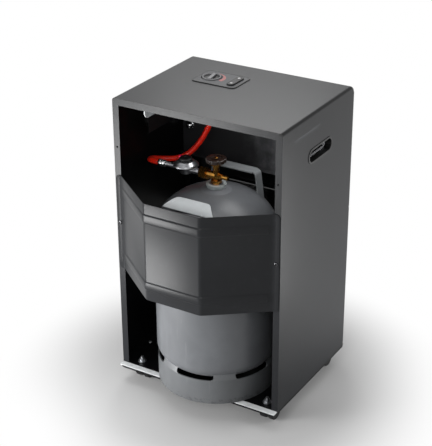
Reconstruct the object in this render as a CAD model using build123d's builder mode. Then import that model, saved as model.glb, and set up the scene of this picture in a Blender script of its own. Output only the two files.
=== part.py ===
"""Portable gas cabinet heater with its gas bottle, seen with the rear cover taken off.

Millimetres. +Z is up, the burner faces -Y and the open bottle bay faces +Y.
The origin is on the floor, under the middle of the whole heater.
"""

from build123d import *
from math import atan2, cos, degrees, hypot, pi, radians, sin, tan
import os

os.makedirs("parts", exist_ok=True)

# ------------------------------------------------------------ driving dimensions
width = 450  # cabinet, side to side
depth = 360  # cabinet, rear flange to front flange
shell_height = 718  # cabinet sheet, tray to top
sheet = 1.2  # cabinet sheet thickness
bend_radius = 7  # bend along the top of each side
top_front_radius = 18  # rounded top front edge
rear_flange = 17
front_flange = 15
top_front_lip = 30
foot_flange = 18

touch_gap = 0.3  # loose pieces that lie beside each other
running_gap = 0.05  # radial play of a turning fit
bore_gap = 1  # a moving pin to the end of its bore
cut_margin = 1  # a cut starts and ends this far outside its sheet

# floor tray and tread strip
tray_depth = 6
tray_sheet = 1.5
tray_lip = 18  # behind the rear plane
tray_rear_radius = 15
tray_front_radius = 6
strip_thickness = 2
strip_margin = 1
screw_end = 1  # tray screws below the tray sheet
tray_screw_shares = (0.3, 0.7)  # of the depth, from the rear

# twin-wheel castors
wheel_radius = 21
wheel_width = 15
wheel_edge = 3
axle_radius = 3
axle_head_radius = 4.5
axle_head = 1.5
castor_web = 8
canopy_gap = 0.8
canopy_thickness = 1.8
hood_headroom = 2.6  # canopy to the top of the swivel boss
canopy_reach = 78  # degrees each side of the top
castor_trail = 15
castor_from_side = 42
castor_from_rear = 24
castor_from_front = 24
stem_radius = 4
stem_collar_radius = 10
stem_collar = 3
stem_end = 6  # above the nut
boss_radius = 8
boss_axle_gap = 2  # axle to the foot of the swivel boss
stem_floor = 3  # boss left below the stem
web_drop = 8  # wheel axis to the lower edge of the middle web
wheel_side_room = 5  # canopy cut past the wheels
nut_flats = 13
nut_height = 6.5
washer_radius = 11
washer_thickness = 1.6

# gas bottle
bottle_radius = 150
bottle_wall = 3
bottle_setback = 82  # bottle axis in front of the rear plane
bottle_offset = -7  # bottle axis to the side of the middle
cylinder_low = 98  # above the tray
cylinder_length = 299
dome_height = 113
base_height = 62
boss_outer_radius = 17
boss_height = 12
neck_bore_radius = 12
foot_ring_radius = 148
foot_ring_top_radius = 142
foot_ring_wall = 3
foot_ring_height = 83
foot_ring_bend = 66
foot_slot_low = 65
foot_slot_height = 15
foot_slot_corner = 6.5
foot_slot_angle = 38
foot_slot_count = 6
foot_slot_first = 98  # degrees from +X to the middle of a slot
neck_flare_radius = 44
neck_flare_seat = 6  # foot of the flare below the crown
neck_flare_height = 2  # above the crown
neck_band_radius = 22.5
neck_band = 3.5
neck_groove_radius = 20
neck_groove = 1.5
neck_ring_radius = 24
neck_ring_edge = 1
handle_setback = 80.5  # bottle axis to the near edge of the strap
handle_width = 26
handle_half_length = 59
handle_splay = 11  # legs lean out this much down to their root
handle_root = 51  # above the cylinder, where the dome hides it
handle_top = 530  # above the tray
handle_sheet = 3
handle_bend = 9
handle_hem_radius = 2.6  # rolled long edges
plate_offset = 16  # plate middle to the side of the bottle axis
plate_low_half = 69.5
plate_high_half = 43
plate_low_reach = 103  # bottle axis to the lower edge
plate_high_reach = 72.5
plate_low = 482.5  # above the tray
plate_high = 501.5
plate_crown = 4
plate_corner = 16
plate_sheet = 2
plate_leg_spread = 30  # plate middle to a leg
plate_leg = 3
plate_leg_share = 0.3  # of the slope, from each edge
plate_leg_lift = 2.4  # into the crowned sheet

# bottle valve
valve_base_radius = 13
valve_base_height = 8
column_radius = 7.5
column_height = 36
gland_radius = 11.5
gland_height = 7
outlet_axis = 540  # above the tray
outlet_radius = 9.5
outlet_reach = 36.5
relief_radius = 5.5
relief_reach = 32
relief_collar_radius = 7
relief_collar_reach = 16  # from the bottle axis, as the other reaches are
stem_pin_radius = 4
stem_pin_bore = 18  # into the column
stem_pin_proud = 1.5
stem_pin_edge = 0.8
handwheel_radius = 24.5
handwheel_height = 10
handwheel_lift = 3
handwheel_flutes = 8
flute_radius = 5
flute_depth = 2
wheel_edge_top = 2
wheel_edge_low = 1.5
wheel_dish_radius = 16
wheel_hub_radius = 8
wheel_dish = 3

# regulator and hose
union_flats = 26
union_length = 20
union_lip = 4
nipple_radius = 6
nipple_collar_radius = 9
nipple_collar = 3
regulator_distance = 84  # bottle axis to regulator axis
regulator_radius = 31
regulator_foot_radius = 15
regulator_foot = 10  # below the gas way
regulator_rim_low = 8
regulator_rim = 5
regulator_shoulder = 9
regulator_shoulder_radius = 19
regulator_cap_radius = 16
regulator_cap_height = 8
cap_edge = 2.5
indicator_radius = 3.5
indicator_distance = 21  # from the middle of the cap
indicator_angle = -20  # degrees from the outlet side
indicator_height = 5
indicator_edge = 1.5
gas_way_radius = 8
tail_pipe_radius = 3.5
tail_pipe_reach = 71
tail_nut_radius = 6.5
tail_nut_end = 40  # regulator axis to the outer face of its hexagon
ferrule_length = 14
ferrule_nose = 6
ferrule_radius = 8.5
ferrule_edge = 1
hose_radius = 7
hose_tail_radius = 8
hose_tail_length = 12

# bottle guard
guard_sheet = 1.5
guard_gap = 35  # bottle to the middle facet
guard_low = 274
guard_height = 250
guard_inset = 2
guard_middle_half = 74
guard_corner = 10
bead_height = 2.5
bead_width = 25
bead_margin = 25
bead_end_inset = 12
guard_screw_from_edge = 10
screw_radius = 2.5
screw_head_radius = 5
screw_head = 2.6
screw_length = 12
screw_crown_share = 0.6  # of the head

# rear cover holes
cover_hole_from_edge = 9.5
cover_hole_height = 596
cover_hole_radius = 2.5

# side handles
grip_from_rear = 185
grip_height = 614
grip_length = 114
grip_width = 32
grip_lip = 3
grip_lip_height = 1.5
grip_wall = 2
grip_depth = 16
grip_edge = 0.9

# heat shield and what it carries
shield_from_front = 60
shield_low = 472
shield_sheet = 0.8
shield_lip = 12
shield_lip_turn = 8  # turned up at the end of the lip
shield_top_gap = 1  # below the bends of the top
upright_leg = 44
upright_width = 18
dome_nut_from_side = 23
dome_nut_height = 551
dome_nut_radius = 10
dome_nut_edge = 9
dome_screw_reach = 4  # past the shield
dome_washer_radius = 12
catch_from_side = 72
catch_from_rear = 27.5
catch_length = 52
catch_drop = 48.5
catch_sheet = 2
catch_round = 14

# front
front_proud = 10
panel_edge = 4
panel_inset = 5
split_height = 395
split_gap = 3
burner_half_width = 165
burner_low = 420
burner_high = 680
burner_corner = 12
louvre_length = 70
louvre_width = 7
louvre_columns = 4
louvre_column_pitch = 86
louvre_rows = 9
louvre_pitch = 18
louvre_middle = 200
wire_radius = 1.5
grille_proud = 22
grille_margin = 10
grille_rows = 15
grille_columns = 5
grille_corner = 6
grille_column_pitch = 74
weld_gap = 0.05

# burner
housing_half_width = 145
housing_low = 440
housing_high = 664
housing_depth = 38
housing_sheet = 1
plaque_width = 88
plaque_height = 196
plaque_thickness = 12
plaque_pitch = 93
plaque_rim = 3
reflector_sheet = 0.6
reflector_inner_margin = 3
pilot_length = 34
pilot_height = 10
pilot_depth = 12
pilot_edge = 2
electrode_radius = 2.5
electrode_height = 18
electrode_tip = 1.5
thermocouple_radius = 2
thermocouple_height = 24
thermocouple_tip = 1.6
pilot_spacing = 10
burner_pipe_radius = 5
burner_pipe_wall = 1
pipe_low = 640
pipe_bend = 11
pipe_hole_gap = 1

# controls in the top
panel_width = 122
panel_depth = 87
panel_corner = 13
panel_offset = 69  # panel middle to the side of the middle
panel_from_front = 128
bezel_base = 0.8
bezel_rim = 4
bezel_rim_height = 1.8
faceplate = 0.8
faceplate_gap = 0.2
well_wall = 2
well_depth = 16
knob_offset = 26
knob_radius = 24
knob_gap = 2
knob_skirt = 8
knob_rise = 4
knob_edge = 1.2
knob_dish_radius = 19.5
knob_dish = 4
knob_bar_width = 10
knob_bar_bite = 1  # into the rim at both ends
knob_bar_height = 5
knob_bar_angle = 10
knob_travel = 5
spindle_radius = 4
spindle_depth = 20  # into the valve block
spindle_cover = 1  # top of the cabinet to the end of the spindle
spindle_edge = 0.5
key_offset = -39.5
key_length = 62
key_width = 20
key_gap = 0.5
key_skirt = 7
key_rise = 3
key_travel = 4
key_edge = 1.2
plunger_radius = 3
plunger_length = 22
piezo_radius = 9
piezo_length = 38
piezo_edge = 2
block_width = 50
block_depth = 34
block_height = 36
block_edge = 4
hose_tail_edge = 1

# ------------------------------------------------------------ worked-out places
canopy_top = 2 * wheel_radius + canopy_gap + canopy_thickness
tray_top = canopy_top + hood_headroom + touch_gap + stem_collar + tray_sheet
z_top = tray_top + shell_height
guard_depth = bottle_radius - bottle_setback + guard_gap
rear_reach = guard_depth + guard_sheet + bead_height
y_rear = (depth + grille_proud - rear_reach) / 2
y_front = y_rear - depth
half = width / 2
bottle_x = bottle_offset
bottle_y = y_rear - bottle_setback


def save(piece, name):
    """Label a finished piece and write it to its own file."""
    piece.part.label = name
    export_step(piece.part, f"parts/{name}.step")


def place(x, y, z, z_dir=(0, 0, 1), x_dir=None):
    """A plane at a point, for a sketch or a hole."""
    return Plane(origin=(x, y, z), z_dir=z_dir, x_dir=x_dir)


# ------------------------------------------------------------ floor tray
castor_spots = {
    "rear_left": (-half + castor_from_side, y_rear - castor_from_rear, -1),
    "rear_right": (half - castor_from_side, y_rear - castor_from_rear, -1),
    "front_left": (-half + castor_from_side, y_front + castor_from_front, 1),
    "front_right": (half - castor_from_side, y_front + castor_from_front, 1),
}
castor_points = [(x, y) for x, y, _ in castor_spots.values()]
tray_screw_spots = [
    (side * (half - sheet - foot_flange / 2), y_rear - depth * share)
    for side in (-1, 1)
    for share in tray_screw_shares
]


def tray_outline(inset):
    """Tray in plan, set in by inset, with its larger corners at the rear."""
    with BuildSketch() as outline:
        with Locations((0, (y_front + y_rear + tray_lip) / 2)):
            Rectangle(width - 2 * inset, depth + tray_lip - 2 * inset)
        fillet(outline.vertices().group_by(Axis.Y)[-1], tray_rear_radius - inset)
        fillet(outline.vertices().group_by(Axis.Y)[0], tray_front_radius - inset)
    return outline.sketch


tray_plan = tray_outline(0)
strip_plan = tray_outline(strip_margin)

with BuildPart() as floor_tray:
    with BuildSketch(Plane.XY.offset(tray_top - tray_depth)):
        add(tray_plan)
    extrude(amount=tray_depth)
    with BuildSketch(Plane.XY.offset(tray_top - tray_depth)):
        with Locations((0, (y_front + y_rear) / 2)):
            Rectangle(width - 2 * tray_sheet, depth - 2 * tray_sheet)
    extrude(amount=tray_depth - tray_sheet, mode=Mode.SUBTRACT)
    with BuildSketch(Plane.XY.offset(tray_top - strip_thickness)):
        with Locations((0, y_rear + tray_lip / 2)):
            Rectangle(width, tray_lip)
    extrude(amount=strip_thickness, mode=Mode.SUBTRACT)
    with BuildSketch(Plane.XY.offset(tray_top)):
        with Locations(*castor_points):
            Circle(stem_radius)
        with Locations(*tray_screw_spots):
            Circle(screw_radius)
    extrude(amount=-tray_sheet, mode=Mode.SUBTRACT)
save(floor_tray, "floor_tray")

with BuildPart() as tread_strip:
    with BuildSketch(Plane.XY.offset(tray_top - strip_thickness)):
        add(strip_plan)
        with Locations((0, y_rear + touch_gap - depth / 2)):
            Rectangle(width, depth, mode=Mode.SUBTRACT)
    extrude(amount=strip_thickness)
save(tread_strip, "tread_strip")

with BuildPart() as tray_screws:
    with Locations(*[(x, y, tray_top + sheet) for x, y in tray_screw_spots]):
        Cylinder(screw_head_radius, screw_head, align=(Align.CENTER, Align.CENTER, Align.MIN))
        Cylinder(
            screw_radius,
            sheet + tray_sheet + screw_end,
            align=(Align.CENTER, Align.CENTER, Align.MAX),
        )
save(tray_screws, "tray_screws")

# ------------------------------------------------------------ castors
wheel_centre = wheel_radius
canopy_inner = wheel_radius + canopy_gap
canopy_outer = canopy_inner + canopy_thickness
tray_underside = tray_top - tray_sheet
boss_top = tray_underside - stem_collar - touch_gap
boss_low = wheel_centre + axle_radius + boss_axle_gap
stem_low = boss_low + stem_floor
castor_half_width = castor_web / 2 + touch_gap + wheel_width

with BuildPart() as castor_stems:
    stem_top = tray_top + washer_thickness + nut_height + stem_end
    with Locations(*[(x, y, stem_low) for x, y in castor_points]):
        Cylinder(
            stem_radius,
            stem_top - stem_low,
            align=(Align.CENTER, Align.CENTER, Align.MIN),
        )
    with Locations(*[(x, y, tray_underside) for x, y in castor_points]):
        Cylinder(stem_collar_radius, stem_collar, align=(Align.CENTER, Align.CENTER, Align.MAX))
save(castor_stems, "castor_stems")

with BuildPart() as castor_nuts:
    with BuildSketch(Plane.XY.offset(tray_top)):
        with Locations(*castor_points):
            Circle(washer_radius)
            Circle(stem_radius, mode=Mode.SUBTRACT)
    extrude(amount=washer_thickness)
    with BuildSketch(Plane.XY.offset(tray_top + washer_thickness)):
        with Locations(*castor_points):
            RegularPolygon(nut_flats / 2, 6, major_radius=False)
            Circle(stem_radius, mode=Mode.SUBTRACT)
    extrude(amount=nut_height)
save(castor_nuts, "castor_nuts")


def axle_plane(x, wheel_y, way=1):
    """Upright plane across the axle at x, facing way along X."""
    return place(x, wheel_y, wheel_centre, (way, 0, 0), (0, 1, 0))


def castor_hood(name, x, y, trail_side):
    """Middle web with the swivel boss, and the canopy over both wheels."""
    wheel_y = y + trail_side * castor_trail
    with BuildPart() as hood:
        with BuildSketch(axle_plane(x - castor_half_width, wheel_y)):
            Circle(canopy_outer)
            Circle(canopy_inner, mode=Mode.SUBTRACT)
            with Locations((0, -canopy_outer + canopy_outer * cos(radians(canopy_reach)))):
                Rectangle(2 * canopy_outer, 2 * canopy_outer, mode=Mode.SUBTRACT)
        extrude(amount=2 * castor_half_width)
        with BuildSketch(axle_plane(x - castor_web / 2, wheel_y)):
            Circle(canopy_outer)
            with Locations((0, -canopy_outer - web_drop)):
                Rectangle(2 * canopy_outer, 2 * canopy_outer, mode=Mode.SUBTRACT)
        extrude(amount=castor_web)
        with BuildSketch(Plane.XY.offset(boss_low)):
            with Locations((x, y)):
                Circle(boss_radius)
            with Locations((x, y + trail_side * boss_radius)):
                Rectangle(castor_web, 2 * boss_radius)
        extrude(amount=boss_top - boss_low)
        # room for both wheels below the boss
        for side in (-1, 1):
            with BuildSketch(axle_plane(x + side * castor_web / 2, wheel_y, side)):
                Circle(canopy_inner)
            extrude(amount=wheel_width + wheel_side_room, mode=Mode.SUBTRACT)
        with BuildSketch(Plane.XY.offset(stem_low - touch_gap)):
            with Locations((x, y)):
                Circle(stem_radius + running_gap)
        extrude(amount=2 * wheel_radius, mode=Mode.SUBTRACT)
        with BuildSketch(axle_plane(x - castor_web / 2, wheel_y)):
            Circle(axle_radius)
        extrude(amount=castor_web, mode=Mode.SUBTRACT)
    save(hood, f"castor_hood_{name}")


def castor_axle(name, x, y, trail_side):
    """Pressed-in pin with a head outside each wheel."""
    wheel_y = y + trail_side * castor_trail
    with BuildPart() as axle:
        with BuildSketch(axle_plane(x, wheel_y)):
            Circle(axle_radius)
        extrude(amount=castor_half_width + touch_gap, both=True)
        for side in (-1, 1):
            with BuildSketch(axle_plane(x + side * (castor_half_width + touch_gap), wheel_y, side)):
                Circle(axle_head_radius)
            extrude(amount=axle_head)
    save(axle, f"castor_axle_{name}")


def castor_wheels(name, x, y, trail_side):
    """The pair of wheels on one axle."""
    wheel_y = y + trail_side * castor_trail
    with BuildPart() as wheels:
        for side in (-1, 1):
            with BuildSketch(axle_plane(x + side * (castor_web / 2 + touch_gap), wheel_y, side)):
                Circle(wheel_radius)
                Circle(axle_radius + running_gap, mode=Mode.SUBTRACT)
            extrude(amount=wheel_width)
        round_edges = wheels.edges().filter_by(GeomType.CIRCLE)
        fillet(round_edges.filter_by(lambda edge: edge.radius > wheel_radius / 2), wheel_edge)
    save(wheels, f"castor_wheels_{name}")


for spot_name, spot in castor_spots.items():
    castor_hood(spot_name, *spot)
    castor_axle(spot_name, *spot)
    castor_wheels(spot_name, *spot)

# ------------------------------------------------------------ cabinet shell
panel_x = panel_offset
panel_y = y_front + panel_from_front
knob_x = panel_x + knob_offset
key_x = panel_x + key_offset
knob_well_radius = knob_radius + knob_gap
grip_y = y_rear - grip_from_rear
grip_z = tray_top + grip_height
guard_screw_x = half - guard_screw_from_edge
guard_screw_z = tray_top + guard_low + guard_height / 2
cover_hole_x = half - cover_hole_from_edge
cover_hole_z = tray_top + cover_hole_height


def shell_block(inset, low):
    """Cabinet as a solid block, every face but the open foot set in by inset."""
    with BuildPart() as block:
        with BuildSketch(Plane.YZ.offset(-half + inset)) as side_view:
            with Locations((y_rear - inset, low)):
                Rectangle(
                    depth - 2 * inset,
                    z_top - inset - low,
                    align=(Align.MAX, Align.MIN),
                )
            # the sketch's own Y is up and its own X runs to the rear
            top_front = side_view.vertices().group_by(Axis.Y)[-1].sort_by(Axis.X)[0]
            fillet(top_front, top_front_radius - inset)
        extrude(amount=width - 2 * inset)
        long_edges = block.edges().filter_by(Axis.Y).group_by(Axis.Z)[-1]
        fillet(long_edges, bend_radius - inset)
    return block.part


def key_slot(extra):
    """Stadium of the ignition key, wider by extra all round."""
    return SlotOverall(key_length + 2 * extra, key_width + 2 * extra, rotation=90)


outer_block = shell_block(0, tray_top)
inner_block = shell_block(sheet, tray_top - cut_margin)

with BuildPart() as cabinet_shell:
    add(outer_block)
    add(inner_block, mode=Mode.SUBTRACT)
    # rear opening inside the flanges
    with BuildSketch(place(0, y_rear + cut_margin, tray_top, (0, -1, 0), (1, 0, 0))):
        Rectangle(
            width - 2 * rear_flange,
            shell_height - rear_flange,
            align=(Align.CENTER, Align.MIN),
        )
    extrude(amount=sheet + 2 * cut_margin, mode=Mode.SUBTRACT)
    # front opening
    with BuildSketch(place(0, y_front - cut_margin, tray_top, (0, -1, 0), (1, 0, 0))):
        Rectangle(
            width - 2 * front_flange,
            shell_height - top_front_lip,
            align=(Align.CENTER, Align.MIN),
        )
    extrude(amount=-sheet - 2 * cut_margin, mode=Mode.SUBTRACT)
    # flanges that stand on the tray
    with BuildSketch(Plane.XY.offset(tray_top)):
        for side in (-1, 1):
            with Locations((side * (half - sheet / 2 - foot_flange / 2), (y_rear + y_front) / 2)):
                Rectangle(foot_flange + sheet, depth - 2 * sheet)
        with Locations(*tray_screw_spots):
            Circle(screw_radius, mode=Mode.SUBTRACT)
    extrude(amount=sheet)
    # hand openings
    with BuildSketch(place(-half - cut_margin, grip_y, grip_z, (1, 0, 0), (0, 1, 0))):
        SlotOverall(grip_length, grip_width)
    extrude(amount=width + 2 * cut_margin, mode=Mode.SUBTRACT)
    # wells of the knob and the key
    with BuildSketch(Plane.XY.offset(z_top + cut_margin)):
        with Locations((knob_x, panel_y)):
            Circle(knob_well_radius + well_wall)
        with Locations((key_x, panel_y)):
            key_slot(key_gap + well_wall)
    extrude(amount=-sheet - 2 * cut_margin, mode=Mode.SUBTRACT)
    # screw holes in the rear flanges
    with BuildSketch(place(0, y_rear + cut_margin, 0, (0, -1, 0), (1, 0, 0))):
        with Locations((-guard_screw_x, guard_screw_z), (guard_screw_x, guard_screw_z)):
            Circle(screw_radius)
        with Locations((-cover_hole_x, cover_hole_z), (cover_hole_x, cover_hole_z)):
            Circle(cover_hole_radius)
    extrude(amount=sheet + 2 * cut_margin, mode=Mode.SUBTRACT)
save(cabinet_shell, "cabinet_shell")

# ------------------------------------------------------------ side hand grips


def grip_ring(outer_extra):
    """Stadium ring of a hand opening, wider outside by outer_extra."""
    SlotOverall(grip_length + 2 * outer_extra, grip_width + 2 * outer_extra)
    SlotOverall(grip_length - 2 * grip_wall, grip_width - 2 * grip_wall, mode=Mode.SUBTRACT)


def hand_grip(name, side):
    """Rim with a lip outside the sheet and a sleeve through it."""
    grip_plane = place(side * half, grip_y, grip_z, (side, 0, 0), (0, 1, 0))
    with BuildPart() as grip:
        with BuildSketch(grip_plane):
            grip_ring(grip_lip)
        extrude(amount=grip_lip_height)
        fillet(grip.edges().group_by(Axis.X)[-1 if side > 0 else 0], grip_edge)
        with BuildSketch(grip_plane):
            grip_ring(0)
        extrude(amount=-grip_depth)
    save(grip, name)


hand_grip("handle_rim_left", -1)
hand_grip("handle_rim_right", 1)

# ------------------------------------------------------------ controls in the top
well_floor = z_top - well_depth
knob_base = z_top - knob_skirt
key_base = z_top - key_skirt

with BuildPart() as panel_bezel:
    with BuildSketch(Plane.XY.offset(z_top)):
        with Locations((panel_x, panel_y)):
            RectangleRounded(panel_width, panel_depth, panel_corner)
    extrude(amount=bezel_rim_height)
    with BuildSketch(Plane.XY.offset(z_top + bezel_base)):
        with Locations((panel_x, panel_y)):
            RectangleRounded(
                panel_width - 2 * bezel_rim, panel_depth - 2 * bezel_rim, panel_corner - bezel_rim
            )
    extrude(amount=bezel_rim_height, mode=Mode.SUBTRACT)
    with BuildSketch(Plane.XY.offset(well_floor - well_wall)):
        with Locations((knob_x, panel_y)):
            Circle(knob_well_radius + well_wall)
        with Locations((key_x, panel_y)):
            key_slot(key_gap + well_wall)
    extrude(amount=well_depth + well_wall + bezel_base)
    with BuildSketch(Plane.XY.offset(well_floor)):
        with Locations((knob_x, panel_y)):
            Circle(knob_well_radius)
        with Locations((key_x, panel_y)):
            key_slot(key_gap)
    extrude(amount=well_depth + bezel_rim_height + cut_margin, mode=Mode.SUBTRACT)
    with BuildSketch(Plane.XY.offset(well_floor)):
        with Locations((knob_x, panel_y)):
            Circle(spindle_radius + knob_gap)
        with Locations((key_x, panel_y)):
            Circle(plunger_radius + key_gap)
    extrude(amount=-well_wall - cut_margin, mode=Mode.SUBTRACT)
save(panel_bezel, "panel_bezel")

with BuildPart() as control_panel:
    with BuildSketch(Plane.XY.offset(z_top + bezel_base)):
        with Locations((panel_x, panel_y)):
            RectangleRounded(
                panel_width - 2 * (bezel_rim + faceplate_gap),
                panel_depth - 2 * (bezel_rim + faceplate_gap),
                panel_corner - bezel_rim - faceplate_gap,
            )
    extrude(amount=faceplate)
    with BuildSketch(Plane.XY.offset(z_top + bezel_base)):
        with Locations((knob_x, panel_y)):
            Circle(knob_well_radius)
        with Locations((key_x, panel_y)):
            key_slot(key_gap)
    extrude(amount=faceplate, mode=Mode.SUBTRACT)
save(control_panel, "control_panel")

block_top = well_floor - well_wall
plunger_reach = plunger_length - (key_base - block_top)
with BuildPart() as gas_valve_block:
    with Locations((knob_x, panel_y, block_top)):
        Box(
            block_width,
            block_depth,
            block_height,
            align=(Align.CENTER, Align.CENTER, Align.MAX),
        )
    chamfer(gas_valve_block.edges().filter_by(Axis.Z), block_edge)
    with BuildSketch(Plane.XY.offset(block_top)):
        with Locations((knob_x, panel_y)):
            Circle(spindle_radius + running_gap)
    extrude(amount=-spindle_depth - knob_travel - bore_gap, mode=Mode.SUBTRACT)
    with BuildSketch(Plane.XY.offset(block_top - block_height)):
        with Locations((knob_x, panel_y)):
            Circle(hose_tail_radius)
    extrude(amount=-hose_tail_length)
    chamfer(gas_valve_block.faces().sort_by(Axis.Z)[0].edges(), hose_tail_edge)
save(gas_valve_block, "gas_valve_block")
hose_end_z = block_top - block_height - hose_tail_length

knob_top = z_top + knob_rise
spindle_top = z_top - spindle_cover
with BuildPart() as valve_spindle:
    with Locations((knob_x, panel_y, spindle_top)):
        Cylinder(
            spindle_radius,
            spindle_top - block_top + spindle_depth,
            align=(Align.CENTER, Align.CENTER, Align.MAX),
        )
    chamfer(valve_spindle.edges().group_by(Axis.Z)[-1], spindle_edge)
save(valve_spindle, "valve_spindle")

with BuildPart() as control_knob:
    with BuildSketch(Plane.XY.offset(knob_base)):
        with Locations((knob_x, panel_y)):
            Circle(knob_radius)
    extrude(amount=knob_top - knob_base)
    fillet(control_knob.edges().group_by(Axis.Z)[-1], knob_edge)
    with BuildSketch(Plane.XY.offset(knob_top)):
        with Locations((knob_x, panel_y)):
            Circle(knob_dish_radius)
    extrude(amount=-knob_dish, mode=Mode.SUBTRACT)
    with BuildSketch(Plane.XY.offset(knob_top - knob_dish)):
        with Locations((knob_x, panel_y)):
            bar_length = 2 * (knob_dish_radius + knob_bar_bite)
            SlotOverall(bar_length, knob_bar_width, rotation=90 + knob_bar_angle)
    extrude(amount=knob_bar_height)
    with BuildSketch(Plane.XY.offset(knob_base)):
        with Locations((knob_x, panel_y)):
            Circle(spindle_radius + running_gap)
    extrude(amount=spindle_top - knob_base + touch_gap, mode=Mode.SUBTRACT)
save(control_knob, "control_knob")

with BuildPart() as ignition_key:
    with BuildSketch(Plane.XY.offset(key_base)):
        with Locations((key_x, panel_y)):
            key_slot(0)
    extrude(amount=key_skirt + bezel_rim_height + key_rise)
    fillet(ignition_key.edges().group_by(Axis.Z)[-1], key_edge)
    with BuildSketch(Plane.XY.offset(key_base)):
        with Locations((key_x, panel_y)):
            Circle(plunger_radius)
    extrude(amount=-plunger_length)
save(ignition_key, "ignition_key")

with BuildPart() as piezo_igniter:
    with Locations((key_x, panel_y, block_top)):
        Cylinder(piezo_radius, piezo_length, align=(Align.CENTER, Align.CENTER, Align.MAX))
    chamfer(piezo_igniter.edges().group_by(Axis.Z)[0], piezo_edge)
    with BuildSketch(Plane.XY.offset(block_top)):
        with Locations((key_x, panel_y)):
            Circle(plunger_radius + running_gap)
    extrude(amount=-plunger_reach - key_travel - bore_gap, mode=Mode.SUBTRACT)
save(piezo_igniter, "piezo_igniter")

# ------------------------------------------------------------ gas bottle
cylinder_base = tray_top + cylinder_low
cylinder_top = cylinder_base + cylinder_length
crown = cylinder_top + dome_height
neck_top = crown + boss_height
bottle_plane = Plane(origin=(bottle_x, bottle_y, 0), x_dir=(1, 0, 0), z_dir=(0, -1, 0))
bottle_axis = Axis((bottle_x, bottle_y, 0), (0, 0, 1))


def bottle_shape(inset):
    """Pressed body turned about the bottle axis, every face set in by inset."""
    radius = bottle_radius - inset
    top = dome_height - inset
    base = base_height - inset
    with BuildPart() as turned:
        with BuildSketch(bottle_plane):
            with BuildLine():
                EllipticalCenterArc((0, cylinder_top), radius, top, start_angle=0, arc_size=90)
                Line((radius, cylinder_top), (radius, cylinder_base))
                EllipticalCenterArc((0, cylinder_base), radius, base, start_angle=270, arc_size=90)
                Line((0, cylinder_base - base), (0, cylinder_top + top))
            make_face()
        revolve(axis=bottle_axis)
    return turned.part


bottle_outside = bottle_shape(0)
bottle_inside = bottle_shape(bottle_wall)

with BuildPart(mode=Mode.PRIVATE) as bottle_block:
    add(bottle_outside)
    with BuildSketch(Plane.XY.offset(cylinder_top)):
        with Locations((bottle_x, bottle_y)):
            Circle(boss_outer_radius)
    extrude(amount=neck_top - cylinder_top)

with BuildPart() as bottle_body:
    add(bottle_block.part)
    add(bottle_inside, mode=Mode.SUBTRACT)
    with BuildSketch(Plane.XY.offset(neck_top)):
        with Locations((bottle_x, bottle_y)):
            Circle(neck_bore_radius)
    extrude(amount=-boss_height - 2 * bottle_wall, mode=Mode.SUBTRACT)
save(bottle_body, "bottle_body")

ring_top = tray_top + foot_ring_height
ring_bend = tray_top + foot_ring_bend
slot_middle = tray_top + foot_slot_low + foot_slot_height / 2
slot_length = 2 * foot_ring_radius * sin(radians(foot_slot_angle / 2))
with BuildPart() as bottle_foot_ring:
    with BuildSketch(bottle_plane):
        with BuildLine():
            Polyline(
                (foot_ring_radius - foot_ring_wall, tray_top),
                (foot_ring_radius, tray_top),
                (foot_ring_radius, ring_bend),
                (foot_ring_top_radius, ring_top),
                (foot_ring_top_radius - foot_ring_wall, ring_top),
                (foot_ring_radius - foot_ring_wall, ring_bend),
                close=True,
            )
        make_face()
    revolve(axis=bottle_axis)
    add(bottle_block.part, mode=Mode.SUBTRACT)
    for index in range(foot_slot_count):
        turn = radians(foot_slot_first + index * 360 / foot_slot_count)
        way = (cos(turn), sin(turn), 0)
        flat = (-sin(turn), cos(turn), 0)
        with BuildSketch(place(bottle_x, bottle_y, slot_middle, way, flat)):
            RectangleRounded(slot_length, foot_slot_height, foot_slot_corner)
        extrude(amount=foot_ring_radius + cut_margin, mode=Mode.SUBTRACT)
save(bottle_foot_ring, "bottle_foot_ring")

flare_seat = crown - neck_flare_seat
band_low = crown + neck_flare_height
band_high = band_low + neck_band
groove_high = band_high + neck_groove
with BuildPart() as bottle_neck_ring:
    with BuildSketch(bottle_plane):
        with BuildLine():
            Polyline(
                (boss_outer_radius, flare_seat),
                (neck_flare_radius, flare_seat),
                (neck_band_radius, band_low),
                (neck_band_radius, band_high),
                (neck_groove_radius, band_high),
                (neck_groove_radius, groove_high),
                (neck_ring_radius, groove_high),
                (neck_ring_radius, neck_top),
                (boss_outer_radius, neck_top),
                close=True,
            )
        make_face()
    revolve(axis=bottle_axis)
    add(bottle_block.part, mode=Mode.SUBTRACT)
    fillet(bottle_neck_ring.edges().group_by(Axis.Z)[-1].sort_by(SortBy.RADIUS)[-1], neck_ring_edge)
save(bottle_neck_ring, "bottle_neck_ring")

# carrying handle: a flat strap across the dome, bent down at both ends
handle_near_y = bottle_y - handle_setback
handle_middle_y = handle_near_y - handle_width / 2
strap_z = tray_top + handle_top - handle_sheet / 2
handle_root_z = cylinder_top + handle_root
with BuildPart() as bottle_handle:
    with BuildLine(place(bottle_x, handle_middle_y, 0, (0, -1, 0), (1, 0, 0))):
        strap_line = FilletPolyline(
            (-handle_half_length - handle_splay, handle_root_z),
            (-handle_half_length, strap_z),
            (handle_half_length, strap_z),
            (handle_half_length + handle_splay, handle_root_z),
            radius=handle_bend,
        )
    leg_way = strap_line % 0
    with BuildSketch(Plane(origin=strap_line @ 0, x_dir=(0, 1, 0), z_dir=leg_way)):
        Rectangle(handle_width, handle_sheet)
    sweep(path=strap_line)
    # hems rolled along the two long edges of the strap
    for hem_y in (handle_near_y, handle_near_y - handle_width):
        hem_start = bottle_x - handle_half_length + handle_bend
        with BuildSketch(place(hem_start, hem_y, strap_z, (1, 0, 0), (0, 1, 0))):
            Circle(handle_hem_radius)
        extrude(amount=2 * (handle_half_length - handle_bend))
    add(bottle_block.part, mode=Mode.SUBTRACT)
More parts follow.
